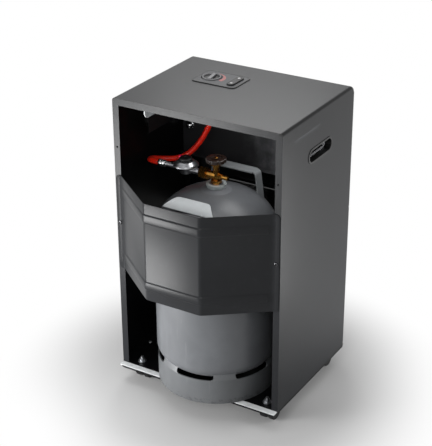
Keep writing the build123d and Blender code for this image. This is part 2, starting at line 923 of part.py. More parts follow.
save(bottle_handle, "bottle_handle")

# shoulder plate: crowned, leaning on the dome on two legs, its corners rounded
plate_x = bottle_x + plate_offset
plate_low_z = tray_top + plate_low
plate_high_z = tray_top + plate_high
plate_low_y = bottle_y + plate_low_reach
plate_high_y = bottle_y + plate_high_reach
plate_slope = atan2(plate_high_z - plate_low_z, plate_low_y - plate_high_y)
plate_run = hypot(plate_high_z - plate_low_z, plate_low_y - plate_high_y)
plate_up = Vector(sin(plate_slope), cos(plate_slope))
plate_foot = Vector(plate_low_y, plate_low_z)
plate_head = Vector(plate_high_y, plate_high_z)
plate_middle = (plate_foot + plate_head) / 2
with BuildPart() as bottle_shoulder_plate:
    with BuildSketch(Plane.YZ.offset(plate_x - plate_low_half)):
        with BuildLine():
            Polyline(plate_foot, plate_foot - plate_up * plate_sheet)
            Polyline(plate_head, plate_head - plate_up * plate_sheet)
            for depth_in in (0, plate_sheet):
                ThreePointArc(
                    plate_foot - plate_up * depth_in,
                    plate_middle + plate_up * (plate_crown - depth_in),
                    plate_head - plate_up * depth_in,
                )
        make_face()
    extrude(amount=2 * plate_low_half)
    face_way = (0, plate_up.X, plate_up.Y)
    with BuildSketch(place(plate_x, plate_middle.X, plate_middle.Y, face_way, (-1, 0, 0))) as view:
        plate_side = degrees(atan2(plate_run, plate_low_half - plate_high_half))
        Trapezoid(2 * plate_low_half, plate_run, plate_side)
        fillet(view.vertices().group_by(Axis.Y)[-1], plate_corner)
    extrude(amount=2 * plate_crown, both=True, mode=Mode.INTERSECT)
    # two legs down to the dome
    leg_ends = (
        plate_foot + (plate_head - plate_foot) * plate_leg_share,
        plate_head + (plate_foot - plate_head) * plate_leg_share,
    )
    for leg_x in (plate_x - plate_leg_spread, plate_x + plate_leg_spread):
        with BuildSketch(Plane.YZ.offset(leg_x - plate_leg / 2)):
            with BuildLine():
                Polyline(
                    leg_ends[0] + plate_up * plate_leg_lift,
                    leg_ends[1] + plate_up * plate_leg_lift,
                    (leg_ends[1].X, cylinder_top),
                    (leg_ends[0].X, cylinder_top),
                    close=True,
                )
            make_face()
        extrude(amount=plate_leg)
    add(bottle_block.part, mode=Mode.SUBTRACT)
save(bottle_shoulder_plate, "bottle_shoulder_plate")

# ------------------------------------------------------------ bottle valve
outlet_z = tray_top + outlet_axis
valve_base = neck_top
column_low = valve_base + valve_base_height
gland_low = column_low + column_height
gland_top = gland_low + gland_height
wheel_low = gland_top + handwheel_lift
outlet_end_x = bottle_x + outlet_reach

with BuildPart() as bottle_valve_body:
    with BuildSketch(Plane.XY.offset(neck_top - boss_height)):
        with Locations((bottle_x, bottle_y)):
            Circle(neck_bore_radius)
    extrude(amount=boss_height)
    with BuildSketch(Plane.XY.offset(valve_base)):
        with Locations((bottle_x, bottle_y)):
            RegularPolygon(valve_base_radius, 6, rotation=30)
    extrude(amount=valve_base_height)
    with BuildSketch(Plane.XY.offset(column_low)):
        with Locations((bottle_x, bottle_y)):
            Circle(column_radius)
    extrude(amount=column_height)
    with BuildSketch(Plane.XY.offset(gland_low)):
        with Locations((bottle_x, bottle_y)):
            RegularPolygon(gland_radius, 6, rotation=30)
    extrude(amount=gland_height)
    with BuildSketch(place(bottle_x, bottle_y, outlet_z, (1, 0, 0))):
        Circle(outlet_radius)
    extrude(amount=outlet_reach)
    with BuildSketch(place(bottle_x, bottle_y, outlet_z, (-1, 0, 0))):
        Circle(relief_radius)
    extrude(amount=relief_reach)
    with BuildSketch(place(bottle_x, bottle_y, outlet_z, (-1, 0, 0))):
        RegularPolygon(relief_collar_radius, 6)
    extrude(amount=relief_collar_reach)
    with BuildSketch(place(outlet_end_x, bottle_y, outlet_z, (-1, 0, 0))):
        Circle(nipple_radius)
    extrude(amount=outlet_reach, mode=Mode.SUBTRACT)
    with BuildSketch(Plane.XY.offset(gland_top)):
        with Locations((bottle_x, bottle_y)):
            Circle(stem_pin_radius + running_gap)
    extrude(amount=-gland_height - stem_pin_bore, mode=Mode.SUBTRACT)
save(bottle_valve_body, "bottle_valve_body")

with BuildPart() as valve_stem:
    with BuildSketch(Plane.XY.offset(gland_low)):
        with Locations((bottle_x, bottle_y)):
            Circle(stem_pin_radius)
    extrude(amount=wheel_low + handwheel_height + stem_pin_proud - gland_low)
    chamfer(valve_stem.edges().group_by(Axis.Z)[-1], stem_pin_edge)
save(valve_stem, "valve_stem")

with BuildPart() as valve_handwheel:
    with BuildSketch(Plane.XY.offset(wheel_low)):
        with Locations((bottle_x, bottle_y)):
            Circle(handwheel_radius)
            with PolarLocations(handwheel_radius + flute_radius - flute_depth, handwheel_flutes):
                Circle(flute_radius, mode=Mode.SUBTRACT)
    extrude(amount=handwheel_height)
    fillet(valve_handwheel.edges().group_by(Axis.Z)[-1], wheel_edge_top)
    fillet(valve_handwheel.edges().group_by(Axis.Z)[0], wheel_edge_low)
    with BuildSketch(Plane.XY.offset(wheel_low + handwheel_height)):
        with Locations((bottle_x, bottle_y)):
            Circle(wheel_dish_radius)
            Circle(wheel_hub_radius, mode=Mode.SUBTRACT)
    extrude(amount=-wheel_dish, mode=Mode.SUBTRACT)
    with BuildSketch(Plane.XY.offset(wheel_low)):
        with Locations((bottle_x, bottle_y)):
            Circle(stem_pin_radius)
    extrude(amount=handwheel_height, mode=Mode.SUBTRACT)
save(valve_handwheel, "valve_handwheel")

# ------------------------------------------------------------ regulator
union_start_x = outlet_end_x - union_length + union_lip + nipple_collar
union_end_x = union_start_x + union_length
regulator_x = bottle_x + regulator_distance
tail_pipe_x = regulator_x + tail_pipe_reach
regulator_axis = Axis((regulator_x, bottle_y, 0), (0, 0, 1))
regulator_plane = Plane(origin=(regulator_x, bottle_y, 0), x_dir=(1, 0, 0), z_dir=(0, -1, 0))

with BuildPart() as union_nut:
    with BuildSketch(place(union_start_x, bottle_y, outlet_z, (1, 0, 0))):
        RegularPolygon(union_flats / 2, 6, major_radius=False)
    extrude(amount=union_length)
    with BuildSketch(place(union_start_x, bottle_y, outlet_z, (1, 0, 0))):
        Circle(outlet_radius + running_gap)
    extrude(amount=union_length - union_lip, mode=Mode.SUBTRACT)
    with BuildSketch(place(union_start_x, bottle_y, outlet_z, (1, 0, 0))):
        Circle(nipple_radius + running_gap)
    extrude(amount=union_length, mode=Mode.SUBTRACT)
save(union_nut, "union_nut")

rim_low = outlet_z + regulator_rim_low
rim_high = rim_low + regulator_rim
shoulder = rim_high + regulator_shoulder
tail_nut_start = regulator_x + regulator_foot_radius
with BuildPart() as regulator_body:
    with BuildSketch(regulator_plane):
        with BuildLine():
            Polyline(
                (0, outlet_z - regulator_foot),
                (regulator_foot_radius, outlet_z - regulator_foot),
                (regulator_radius, rim_low),
                (regulator_radius, rim_high),
                (regulator_shoulder_radius, shoulder),
                (0, shoulder),
                close=True,
            )
        make_face()
    revolve(axis=regulator_axis)
    with BuildSketch(place(outlet_end_x, bottle_y, outlet_z, (1, 0, 0))):
        Circle(nipple_radius)
    extrude(amount=regulator_x - outlet_end_x)
    with BuildSketch(place(outlet_end_x, bottle_y, outlet_z, (1, 0, 0))):
        Circle(nipple_collar_radius)
    extrude(amount=nipple_collar)
    with BuildSketch(place(union_end_x + touch_gap, bottle_y, outlet_z, (1, 0, 0))):
        Circle(gas_way_radius)
    extrude(amount=regulator_x - union_end_x - touch_gap)
    with BuildSketch(place(regulator_x, bottle_y, outlet_z, (1, 0, 0))):
        Circle(tail_pipe_radius)
    extrude(amount=tail_pipe_reach)
    with BuildSketch(place(tail_nut_start, bottle_y, outlet_z, (1, 0, 0))):
        RegularPolygon(tail_nut_radius, 6)
    extrude(amount=tail_nut_end - regulator_foot_radius)
save(regulator_body, "regulator_body")

with BuildPart() as regulator_cap:
    with BuildSketch(Plane.XY.offset(shoulder)):
        with Locations((regulator_x, bottle_y)):
            Circle(regulator_cap_radius)
    extrude(amount=regulator_cap_height)
    fillet(regulator_cap.edges().group_by(Axis.Z)[-1], cap_edge)
save(regulator_cap, "regulator_cap")

indicator_turn = radians(indicator_angle)
indicator_x = regulator_x + indicator_distance * cos(indicator_turn)
indicator_y = bottle_y + indicator_distance * sin(indicator_turn)
with BuildPart() as regulator_indicator:
    with BuildSketch(Plane.XY.offset(rim_high)):
        with Locations((indicator_x, indicator_y)):
            Circle(indicator_radius)
    extrude(amount=regulator_shoulder + indicator_height)
    fillet(regulator_indicator.edges().group_by(Axis.Z)[-1], indicator_edge)
    add(regulator_body.part, mode=Mode.SUBTRACT)
    add(regulator_cap.part, mode=Mode.SUBTRACT)
save(regulator_indicator, "regulator_indicator")

with BuildPart() as hose_ferrule:
    with BuildSketch(place(tail_pipe_x, bottle_y, outlet_z, (-1, 0, 0))):
        Circle(ferrule_radius)
        Circle(tail_pipe_radius, mode=Mode.SUBTRACT)
    extrude(amount=ferrule_length)
    fillet(hose_ferrule.edges().filter_by(GeomType.CIRCLE).group_by(Axis.X)[0], ferrule_edge)
    with BuildSketch(place(tail_pipe_x, bottle_y, outlet_z, (1, 0, 0))):
        Circle(ferrule_radius)
    extrude(amount=ferrule_nose)
    ferrule_end = hose_ferrule.edges().filter_by(GeomType.CIRCLE).group_by(Axis.X)[-1]
    fillet(ferrule_end, ferrule_edge)
save(hose_ferrule, "hose_ferrule")

# ------------------------------------------------------------ gas hose
hose_start_x = tail_pipe_x + ferrule_nose
hose_route = [
    (hose_start_x, bottle_y, outlet_z),
    (170, 55, 591),
    (185, 47, 588),
    (195, 33, 583),
    (199, 15, 577),
    (196, -4, 570),
    (186, -22, 565),
    (171, -37, 563),
    (154, -51, 566),
    (137, -64, 579),
    (121, -76, 602),
    (109, -85, 626),
    (99, -91, 652),
    (knob_x, panel_y, 679),
    (knob_x, panel_y, hose_end_z),
]


def bend_radii(route):
    """Largest arcs that the runs beside each corner leave room for."""
    points = [Vector(*point) for point in route]
    radii = []
    for before, corner, after in zip(points, points[1:], points[2:]):
        shorter = min((corner - before).length, (after - corner).length)
        half_turn = (corner - before).get_angle(after - corner) / 2
        radii.append(0.45 * shorter / tan(radians(half_turn)))
    return radii


hose_radii = bend_radii(hose_route)
print("hose bend radii", [round(radius, 1) for radius in hose_radii])
with BuildPart() as gas_hose:
    with BuildLine():
        hose_path = FilletPolyline(*hose_route, radius=hose_radii)
    with BuildSketch(place(*hose_route[0], z_dir=(1, 0, 0))):
        Circle(hose_radius)
    sweep(path=hose_path)
hose_section = pi * hose_radius**2
hose_length = hose_path.length
print("hose length", round(hose_length, 1), "volume", round(gas_hose.part.volume))
print("section times length", round(hose_section * hose_length))
save(gas_hose, "gas_hose")

# ------------------------------------------------------------ bottle guard
fold_x = half - rear_flange
guard_angle = atan2(guard_depth, fold_x - guard_middle_half)
miter = tan(guard_angle / 2)
facet_way = (-cos(guard_angle), sin(guard_angle))
facet_out = (sin(guard_angle), cos(guard_angle))
guard_base = tray_top + guard_low


def guard_side(out):
    """Flange edge, flange fold and middle fold of the right half, moved out by out."""
    return [
        (half - guard_inset, y_rear + out),
        (fold_x + out * miter, y_rear + out),
        (guard_middle_half + out * miter, y_rear + guard_depth + out),
    ]


def bead_side(out, end_inset):
    """Bead end on the side facet and its middle fold, right half, moved out by out."""
    start_x = fold_x + end_inset * facet_way[0] + out * facet_out[0]
    start_y = y_rear + end_inset * facet_way[1] + out * facet_out[1]
    return [(start_x, start_y), guard_side(out)[2]]


def band_corners(inner, outer):
    """Corners of the band between two right-half lines and their mirror images."""
    inner_line = inner + [(-x, y) for x, y in reversed(inner)]
    outer_line = outer + [(-x, y) for x, y in reversed(outer)]
    return inner_line + outer_line[::-1]


bead_lows = (
    guard_base + bead_margin,
    guard_base + guard_height - bead_margin - bead_width,
)
hollow_inset = bead_end_inset + guard_sheet
guard_plan = band_corners(guard_side(0), guard_side(guard_sheet))
bead_plan = band_corners(
    bead_side(guard_sheet / 2, bead_end_inset),
    bead_side(guard_sheet + bead_height, bead_end_inset),
)
hollow_plan = band_corners(bead_side(0, hollow_inset), bead_side(bead_height, hollow_inset))

with BuildPart() as bottle_guard:
    with BuildSketch(Plane.XY.offset(guard_base)):
        Polygon(*guard_plan, align=None)
    extrude(amount=guard_height)
    fillet(bottle_guard.edges().filter_by(Axis.Y), guard_corner)
    for bead_low in bead_lows:
        with BuildSketch(Plane.XY.offset(bead_low)):
            Polygon(*bead_plan, align=None)
        extrude(amount=bead_width)
        with BuildSketch(Plane.XY.offset(bead_low + guard_sheet)):
            Polygon(*hollow_plan, align=None)
        extrude(amount=bead_width - 2 * guard_sheet, mode=Mode.SUBTRACT)
    with BuildSketch(place(0, y_rear - cut_margin, 0, (0, 1, 0), (1, 0, 0))):
        with Locations((-guard_screw_x, -guard_screw_z), (guard_screw_x, -guard_screw_z)):
            Circle(screw_radius)
    extrude(amount=guard_sheet + 2 * cut_margin, mode=Mode.SUBTRACT)
save(bottle_guard, "bottle_guard")

with BuildPart() as guard_screws:
    head_y = y_rear + guard_sheet
    for side in (-1, 1):
        with BuildSketch(place(side * guard_screw_x, head_y, guard_screw_z, (0, 1, 0))):
            Circle(screw_head_radius)
        extrude(amount=screw_head)
        with BuildSketch(place(side * guard_screw_x, head_y, guard_screw_z, (0, -1, 0))):
            Circle(screw_radius)
        extrude(amount=screw_length)
    fillet(guard_screws.edges().group_by(Axis.Y)[-1], screw_head * screw_crown_share)
save(guard_screws, "guard_screws")

# ------------------------------------------------------------ heat shield
shield_y = y_front + shield_from_front  # rear face of the shield
shield_front_y = shield_y - shield_sheet
shield_z = tray_top + shield_low
shield_top = z_top - bend_radius - shield_top_gap
side_inner = half - sheet
upright_low = tray_top + sheet
pipe_z = tray_top + pipe_low
dome_nut_x = half - dome_nut_from_side
dome_nut_z = tray_top + dome_nut_height

with BuildPart() as shield_uprights:
    with BuildSketch(Plane.XY.offset(upright_low)):
        for side in (-1, 1):
            with Locations((side * (side_inner - sheet / 2), shield_front_y - upright_leg / 2)):
                Rectangle(sheet, upright_leg)
            with Locations((side * (side_inner - upright_width / 2), shield_front_y - sheet / 2)):
                Rectangle(upright_width, sheet)
    extrude(amount=shield_top - upright_low)
    with BuildSketch(place(dome_nut_x, shield_front_y - 2 * sheet, dome_nut_z, (0, 1, 0))):
        Circle(screw_radius)
    extrude(amount=3 * sheet, mode=Mode.SUBTRACT)
save(shield_uprights, "shield_uprights")

with BuildPart() as heat_shield:
    with BuildSketch(place(0, shield_front_y, shield_z, (0, 1, 0), (-1, 0, 0))):
        Rectangle(
            width - 2 * sheet - 2 * touch_gap,
            shield_top - shield_z,
            align=(Align.CENTER, Align.MIN),
        )
    extrude(amount=shield_sheet)
    # lower edge folded towards the bottle
    with BuildSketch(Plane.XY.offset(shield_z)):
        with Locations((0, shield_front_y)):
            Rectangle(
                width - 2 * sheet - 2 * touch_gap,
                shield_lip,
                align=(Align.CENTER, Align.MIN),
            )
    extrude(amount=shield_sheet)
    with BuildSketch(Plane.XY.offset(shield_z)):
        with Locations((0, shield_front_y + shield_lip)):
            Rectangle(
                width - 2 * sheet - 2 * touch_gap,
                shield_sheet,
                align=(Align.CENTER, Align.MAX),
            )
    extrude(amount=shield_lip_turn)
    with BuildSketch(place(0, shield_y + cut_margin, 0, (0, -1, 0), (1, 0, 0))):
        with Locations((knob_x, pipe_z)):
            Circle(burner_pipe_radius + pipe_hole_gap)
        with Locations((dome_nut_x, dome_nut_z)):
            Circle(screw_radius)
    extrude(amount=shield_sheet + 2 * cut_margin, mode=Mode.SUBTRACT)
save(heat_shield, "heat_shield")

with BuildPart() as shield_dome_nut:
    with BuildSketch(place(dome_nut_x, shield_y, dome_nut_z, (0, 1, 0))):
        Circle(dome_washer_radius)
    extrude(amount=washer_thickness)
    with BuildSketch(place(dome_nut_x, shield_y, dome_nut_z, (0, 1, 0))):
        Circle(dome_nut_radius)
    extrude(amount=washer_thickness + dome_nut_radius)
    fillet(shield_dome_nut.edges().group_by(Axis.Y)[-1], dome_nut_edge)
    with BuildSketch(place(dome_nut_x, shield_y, dome_nut_z, (0, -1, 0))):
        Circle(screw_radius)
    extrude(amount=dome_screw_reach)
save(shield_dome_nut, "shield_dome_nut")

# catch of the rear cover, hung from the underside of the top
catch_x = half - catch_from_side
catch_y = y_rear - catch_from_rear
with BuildPart() as cover_catch:
    with BuildSketch(Plane.YZ.offset(catch_x)) as catch_view:
        with Locations((catch_y, z_top - sheet)):
            Rectangle(catch_length, catch_drop, align=(Align.MAX, Align.MAX))
        # the sketch's own X runs to the rear
        fillet(catch_view.vertices().group_by(Axis.Y)[0].sort_by(Axis.X)[-1], catch_round)
    extrude(amount=catch_sheet)
    with BuildSketch(Plane.XY.offset(z_top - sheet)):
        with Locations((catch_x, catch_y)):
            Rectangle(catch_round, catch_length, align=(Align.MIN, Align.MAX))
    extrude(amount=-catch_sheet)
save(cover_catch, "cover_catch")

# ------------------------------------------------------------ front panels
face_y = y_front - front_proud  # front face of both panels
panel_half_width = half - panel_inset
split_z = tray_top + split_height
upper_panel_top = z_top - top_front_radius - panel_inset / 2
burner_middle_z = tray_top + (burner_low + burner_high) / 2
louvre_z = tray_top + louvre_middle


def pressed_panel(low, high):
    """Shallow pan, open towards the cabinet, with rounded front edges."""
    pan_plane = place(0, y_front, (low + high) / 2, (0, -1, 0), (1, 0, 0))
    with BuildPart() as pan:
        with BuildSketch(pan_plane):
            Rectangle(2 * panel_half_width, high - low)
        extrude(amount=front_proud)
        fillet(pan.faces().sort_by(Axis.Y)[0].edges(), panel_edge)
        with BuildSketch(pan_plane):
            Rectangle(2 * (panel_half_width - sheet), high - low - 2 * sheet)
        extrude(amount=front_proud - sheet, mode=Mode.SUBTRACT)
    return pan.part


upper_pan = pressed_panel(split_z + split_gap / 2, upper_panel_top)
lower_pan = pressed_panel(tray_top + split_gap, split_z - split_gap / 2)

with BuildPart() as burner_front_panel:
    add(upper_pan)
    with BuildSketch(place(0, face_y - cut_margin, burner_middle_z, (0, 1, 0), (1, 0, 0))):
        RectangleRounded(2 * burner_half_width, burner_high - burner_low, burner_corner)
    extrude(amount=sheet + 2 * cut_margin, mode=Mode.SUBTRACT)
save(burner_front_panel, "burner_front_panel")

with BuildPart() as lower_front_panel:
    add(lower_pan)
    with BuildSketch(place(0, face_y - cut_margin, louvre_z, (0, 1, 0), (1, 0, 0))):
        with GridLocations(louvre_column_pitch, louvre_pitch, louvre_columns, louvre_rows):
            SlotOverall(louvre_length, louvre_width)
    extrude(amount=sheet + 2 * cut_margin, mode=Mode.SUBTRACT)
save(lower_front_panel, "lower_front_panel")

# ------------------------------------------------------------ burner
housing_y = shield_front_y  # rear face of the burner box
housing_front_y = housing_y - housing_depth
housing_low_z = tray_top + housing_low
housing_high_z = tray_top + housing_high
housing_middle_z = (housing_low_z + housing_high_z) / 2
plaque_spots = {"left": -plaque_pitch, "centre": 0, "right": plaque_pitch}

with BuildPart() as burner_housing:
    with BuildSketch(place(0, housing_y, housing_middle_z, (0, -1, 0), (1, 0, 0))):
        Rectangle(2 * housing_half_width, housing_high_z - housing_low_z)
    extrude(amount=housing_depth)
    housing_inner = (
        2 * (housing_half_width - housing_sheet),
        housing_high_z - housing_low_z - 2 * housing_sheet,
    )
    hollow_y = housing_y - housing_sheet
    with BuildSketch(place(0, hollow_y, housing_middle_z, (0, -1, 0), (1, 0, 0))):
        Rectangle(*housing_inner)
    extrude(amount=housing_depth - 2 * housing_sheet, mode=Mode.SUBTRACT)
    with BuildSketch(place(0, hollow_y, housing_middle_z, (0, -1, 0), (1, 0, 0))):
        with Locations(*[(spot_x, 0) for spot_x in plaque_spots.values()]):
            Rectangle(plaque_width - 2 * plaque_rim, plaque_height - 2 * plaque_rim)
    extrude(amount=housing_depth, mode=Mode.SUBTRACT)
save(burner_housing, "burner_housing")

for plaque_name, plaque_x in plaque_spots.items():
    with BuildPart() as plaque:
        plaque_y = housing_front_y + housing_sheet
        with BuildSketch(place(plaque_x, plaque_y, housing_middle_z, (0, 1, 0), (-1, 0, 0))):
            Rectangle(plaque_width, plaque_height)
        extrude(amount=plaque_thickness)
    save(plaque, f"ceramic_plaque_{plaque_name}")

reflector_inner = (
    2 * plaque_pitch + plaque_width + 2 * reflector_inner_margin,
    plaque_height + 2 * reflector_inner_margin,
)
reflector_outer = (
    2 * (burner_half_width + reflector_inner_margin),
    burner_high - burner_low + 2 * reflector_inner_margin,
)
with BuildPart() as reflector:
    back_plane = place(0, housing_front_y, housing_middle_z, (0, -1, 0), (1, 0, 0))
    front_plane = place(0, face_y + sheet, burner_middle_z, (0, -1, 0), (1, 0, 0))
    for inset, mode in ((0, Mode.ADD), (reflector_sheet, Mode.SUBTRACT)):
        with BuildSketch(back_plane):
            Rectangle(reflector_inner[0] - 2 * inset, reflector_inner[1] - 2 * inset)
        with BuildSketch(front_plane):
            Rectangle(reflector_outer[0] - 2 * inset, reflector_outer[1] - 2 * inset)
        loft(ruled=True, mode=mode)
save(reflector, "reflector")

# ------------------------------------------------------------ pilot set
pilot_z = housing_middle_z - reflector_inner[1] / 2 + reflector_sheet + touch_gap
with BuildPart() as pilot_burner:
    with Locations((0, housing_front_y, pilot_z)):
        Box(
            pilot_length,
            pilot_depth,
            pilot_height,
            align=(Align.CENTER, Align.MAX, Align.MIN),
        )
    chamfer(pilot_burner.edges().filter_by(Axis.Y), pilot_edge)
save(pilot_burner, "pilot_burner")

pilot_top = pilot_z + pilot_height
with BuildPart() as spark_electrode:
    with Locations((-pilot_spacing, housing_front_y - pilot_depth / 2, pilot_top)):
        Cylinder(
            electrode_radius, electrode_height, align=(Align.CENTER, Align.CENTER, Align.MIN)
        )
    chamfer(spark_electrode.edges().group_by(Axis.Z)[-1], electrode_tip)
save(spark_electrode, "spark_electrode")

with BuildPart() as thermocouple:
    with Locations((pilot_spacing, housing_front_y - pilot_depth / 2, pilot_top)):
        Cylinder(
            thermocouple_radius,
            thermocouple_height,
            align=(Align.CENTER, Align.CENTER, Align.MIN),
        )
    fillet(thermocouple.edges().group_by(Axis.Z)[-1], thermocouple_tip)
save(thermocouple, "thermocouple")

# gas pipe from the valve block through the shield to the burner box
block_front_y = panel_y - block_depth / 2
block_middle_z = block_top - block_height / 2
drop_y = (block_front_y + shield_y) / 2
with BuildPart() as burner_pipe:
    pipe_route = [
        (knob_x, block_front_y, block_middle_z),
        (knob_x, drop_y, block_middle_z),
        (knob_x, drop_y, pipe_z),
        (knob_x, housing_y, pipe_z),
    ]
    with BuildLine():
        pipe_path = FilletPolyline(*pipe_route, radius=pipe_bend)
    with BuildSketch(place(*pipe_route[0], z_dir=(0, -1, 0))):
        Circle(burner_pipe_radius)
        Circle(burner_pipe_radius - burner_pipe_wall, mode=Mode.SUBTRACT)
    sweep(path=pipe_path)
save(burner_pipe, "burner_pipe")

# ------------------------------------------------------------ wire guard
grille_half_width = burner_half_width + grille_margin
grille_low_z = tray_top + burner_low - grille_margin
grille_high_z = tray_top + burner_high + grille_margin
grille_pitch = (grille_high_z - grille_low_z) / (grille_rows - 1)
wire_y = y_front - grille_proud + wire_radius
column_y = wire_y + 2 * wire_radius + weld_gap
with BuildPart() as wire_guard:
    for row in range(grille_rows):
        row_z = grille_low_z + row * grille_pitch
        with BuildLine():
            row_path = FilletPolyline(
                (-grille_half_width, face_y, row_z),
                (-grille_half_width, wire_y, row_z),
                (grille_half_width, wire_y, row_z),
                (grille_half_width, face_y, row_z),
                radius=grille_corner,
            )
        with BuildSketch(place(-grille_half_width, face_y, row_z, (0, -1, 0))):
            Circle(wire_radius)
        sweep(path=row_path)
    # the upright wires, welded behind the rows
    with BuildSketch(Plane.XY.offset(grille_low_z - 2 * wire_radius)):
        with Locations((0, column_y)):
            with GridLocations(grille_column_pitch, 1, grille_columns, 1):
                Circle(wire_radius)
    extrude(amount=grille_high_z - grille_low_z + 4 * wire_radius)
save(wire_guard, "wire_guard")
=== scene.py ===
import math

import bmesh
import bpy
from mathutils import Matrix, Quaternion, Vector


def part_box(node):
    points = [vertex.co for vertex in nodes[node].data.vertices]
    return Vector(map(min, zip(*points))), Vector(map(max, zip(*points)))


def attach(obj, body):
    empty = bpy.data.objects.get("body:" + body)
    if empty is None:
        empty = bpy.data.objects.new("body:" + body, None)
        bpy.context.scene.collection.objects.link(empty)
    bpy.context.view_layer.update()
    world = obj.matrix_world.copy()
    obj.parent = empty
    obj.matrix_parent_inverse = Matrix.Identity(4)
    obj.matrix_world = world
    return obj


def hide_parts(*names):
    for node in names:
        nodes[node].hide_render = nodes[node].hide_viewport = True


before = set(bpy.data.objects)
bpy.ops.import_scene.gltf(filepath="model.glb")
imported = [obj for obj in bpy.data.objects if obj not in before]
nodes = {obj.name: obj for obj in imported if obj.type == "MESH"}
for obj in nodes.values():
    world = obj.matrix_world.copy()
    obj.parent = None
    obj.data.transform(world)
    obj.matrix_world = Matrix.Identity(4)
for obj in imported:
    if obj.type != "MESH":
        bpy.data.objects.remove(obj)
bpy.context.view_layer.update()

# ------------------------------------------------------------------ camera
PHOTO_HEIGHT = 446
SENSOR = 36.0
FOCAL_PIXELS = 1260.0
CAMERA_PLACE = Vector((-1.407, 2.3625, 1.796))
CAMERA_FORWARD = Vector((0.466, -0.767, -0.4415))
CAMERA_ROLL = math.radians(-0.36)

camera_data = bpy.data.cameras.new("photo_camera")
camera_data.sensor_width = SENSOR
camera_data.lens = FOCAL_PIXELS / PHOTO_HEIGHT * SENSOR
camera = bpy.data.objects.new("photo_camera", camera_data)
bpy.context.scene.collection.objects.link(camera)
camera.location = CAMERA_PLACE
camera.rotation_mode = "QUATERNION"
camera_turn = CAMERA_FORWARD.to_track_quat("-Z", "Y")
camera.rotation_quaternion = camera_turn @ Quaternion((0, 0, 1), CAMERA_ROLL)
bpy.context.scene.camera = camera
bpy.context.scene.view_settings.view_transform = "Standard"


# ------------------------------------------------------------------ shader maths
class Value:
    """A shader socket that adds its own Math nodes when it is used in an expression."""

    def __init__(self, graph, socket):
        self.graph = graph
        self.socket = socket

    def maths(self, operation, *terms):
        inputs = dict(enumerate(terms))
        return self.graph.node("ShaderNodeMath", {"operation": operation}, inputs)

    def __add__(self, other):
        return self.maths("ADD", self, other)

    def __sub__(self, other):
        return self.maths("SUBTRACT", self, other)

    def __rsub__(self, other):
        return self.maths("SUBTRACT", other, self)

    def __mul__(self, other):
        return self.maths("MULTIPLY", self, other)

    def __truediv__(self, other):
        return self.maths("DIVIDE", self, other)

    def __pow__(self, other):
        return self.maths("POWER", self, other)

    def __gt__(self, other):
        return self.maths("GREATER_THAN", self, other)

    def __lt__(self, other):
        return self.maths("LESS_THAN", self, other)

    def __abs__(self):
        return self.maths("ABSOLUTE", self)

    __radd__ = __add__
    __rmul__ = __mul__

    def step(self, low, high):
        """0 below low, 1 above high, smooth between them."""
        return self.graph.node(
            "ShaderNodeMapRange",
            {"interpolation_type": "SMOOTHSTEP"},
            {"Value": self, "From Min": low, "From Max": high},
        )

    def within(self, low, high):
        """1 between low and high."""
        return (self > low) * (self < high)


class Graph:
    """A node tree in which every node comes from one method."""

    def __init__(self, tree):
        self.tree = tree

    def node(self, kind, settings=None, inputs=None, output=0):
        """A node: its settings first, then the values or links of its sockets."""
        node = self.tree.nodes.new(kind)
        for name, setting in (settings or {}).items():
            setattr(node, name, setting)
        for name, term in (inputs or {}).items():
            self.connect(term, node.inputs[name])
        return Value(self, node.outputs[output])

    def connect(self, term, socket):
        if isinstance(term, Value):
            self.tree.links.new(term.socket, socket)
        else:
            socket.default_value = term


def rgba(colour):
    """A display colour from 0 to 255 as the linear colour that shaders take."""
    linear = []
    for channel in colour:
        share = channel / 255
        linear.append(share / 12.92 if share <= 0.04045 else ((share + 0.055) / 1.055) ** 2.4)
    return (*linear, 1.0)


def tint(colour, share):
    """The same colour, lighter or darker."""
    return [channel * share for channel in colour]


class Finish(Graph):
    """A surface finish: a Principled shader on Object coordinates."""

    def __init__(self, name, **fixed):
        self.material = bpy.data.materials.new(name)
        self.material.use_nodes = True
        super().__init__(self.material.node_tree)
        self.shader = self.tree.nodes["Principled BSDF"]
        self.set(**fixed)
        self.vector = self.node("ShaderNodeTexCoord", output="Object")
        self.x, self.y, self.z = (
            self.node("ShaderNodeSeparateXYZ", inputs={0: self.vector}, output=axis)
            for axis in range(3)
        )

    def set(self, **sockets):
        for name, term in sockets.items():
            self.connect(term, self.shader.inputs[name.replace("_", " ")])

    def stretched(self, factors):
        """Object coordinates multiplied along each axis."""
        return self.node(
            "ShaderNodeVectorMath", {"operation": "MULTIPLY"}, {0: self.vector, 1: factors}
        )

    def noise(self, scale, detail=3.0, roughness=0.55, vector=None):
        return self.node(
            "ShaderNodeTexNoise",
            inputs={
                "Vector": vector or self.vector,
                "Scale": scale,
                "Detail": detail,
                "Roughness": roughness,
            },
        )

    def cells(self, scale, output="Distance"):
        inputs = {"Vector": self.vector, "Scale": scale}
        return self.node("ShaderNodeTexVoronoi", inputs=inputs, output=output)

    def mix(self, factor, first, second):
        """Two colours mixed by factor."""
        return self.node(
            "ShaderNodeMix", {"data_type": "RGBA"}, {"Factor": factor, 6: first, 7: second}, 2
        )

    def bump(self, height, strength, depth):
        """A normal from a height of 0 to 1, depth metres deep."""
        inputs = {"Height": height, "Strength": strength, "Distance": depth}
        return self.node("ShaderNodeBump", inputs=inputs)


# ------------------------------------------------------------------ finishes
COAT_GREY = (31, 32, 34)
# black of the tray and the parts in the bay, also used as painted shade inside the shell and as a
# painted shadow along its seam
BLACK_AND_PAINTED_SHADE = (7, 7, 8)
BOTTLE_GREY = (90, 92, 95)
PRINT_RED = (186, 96, 92)

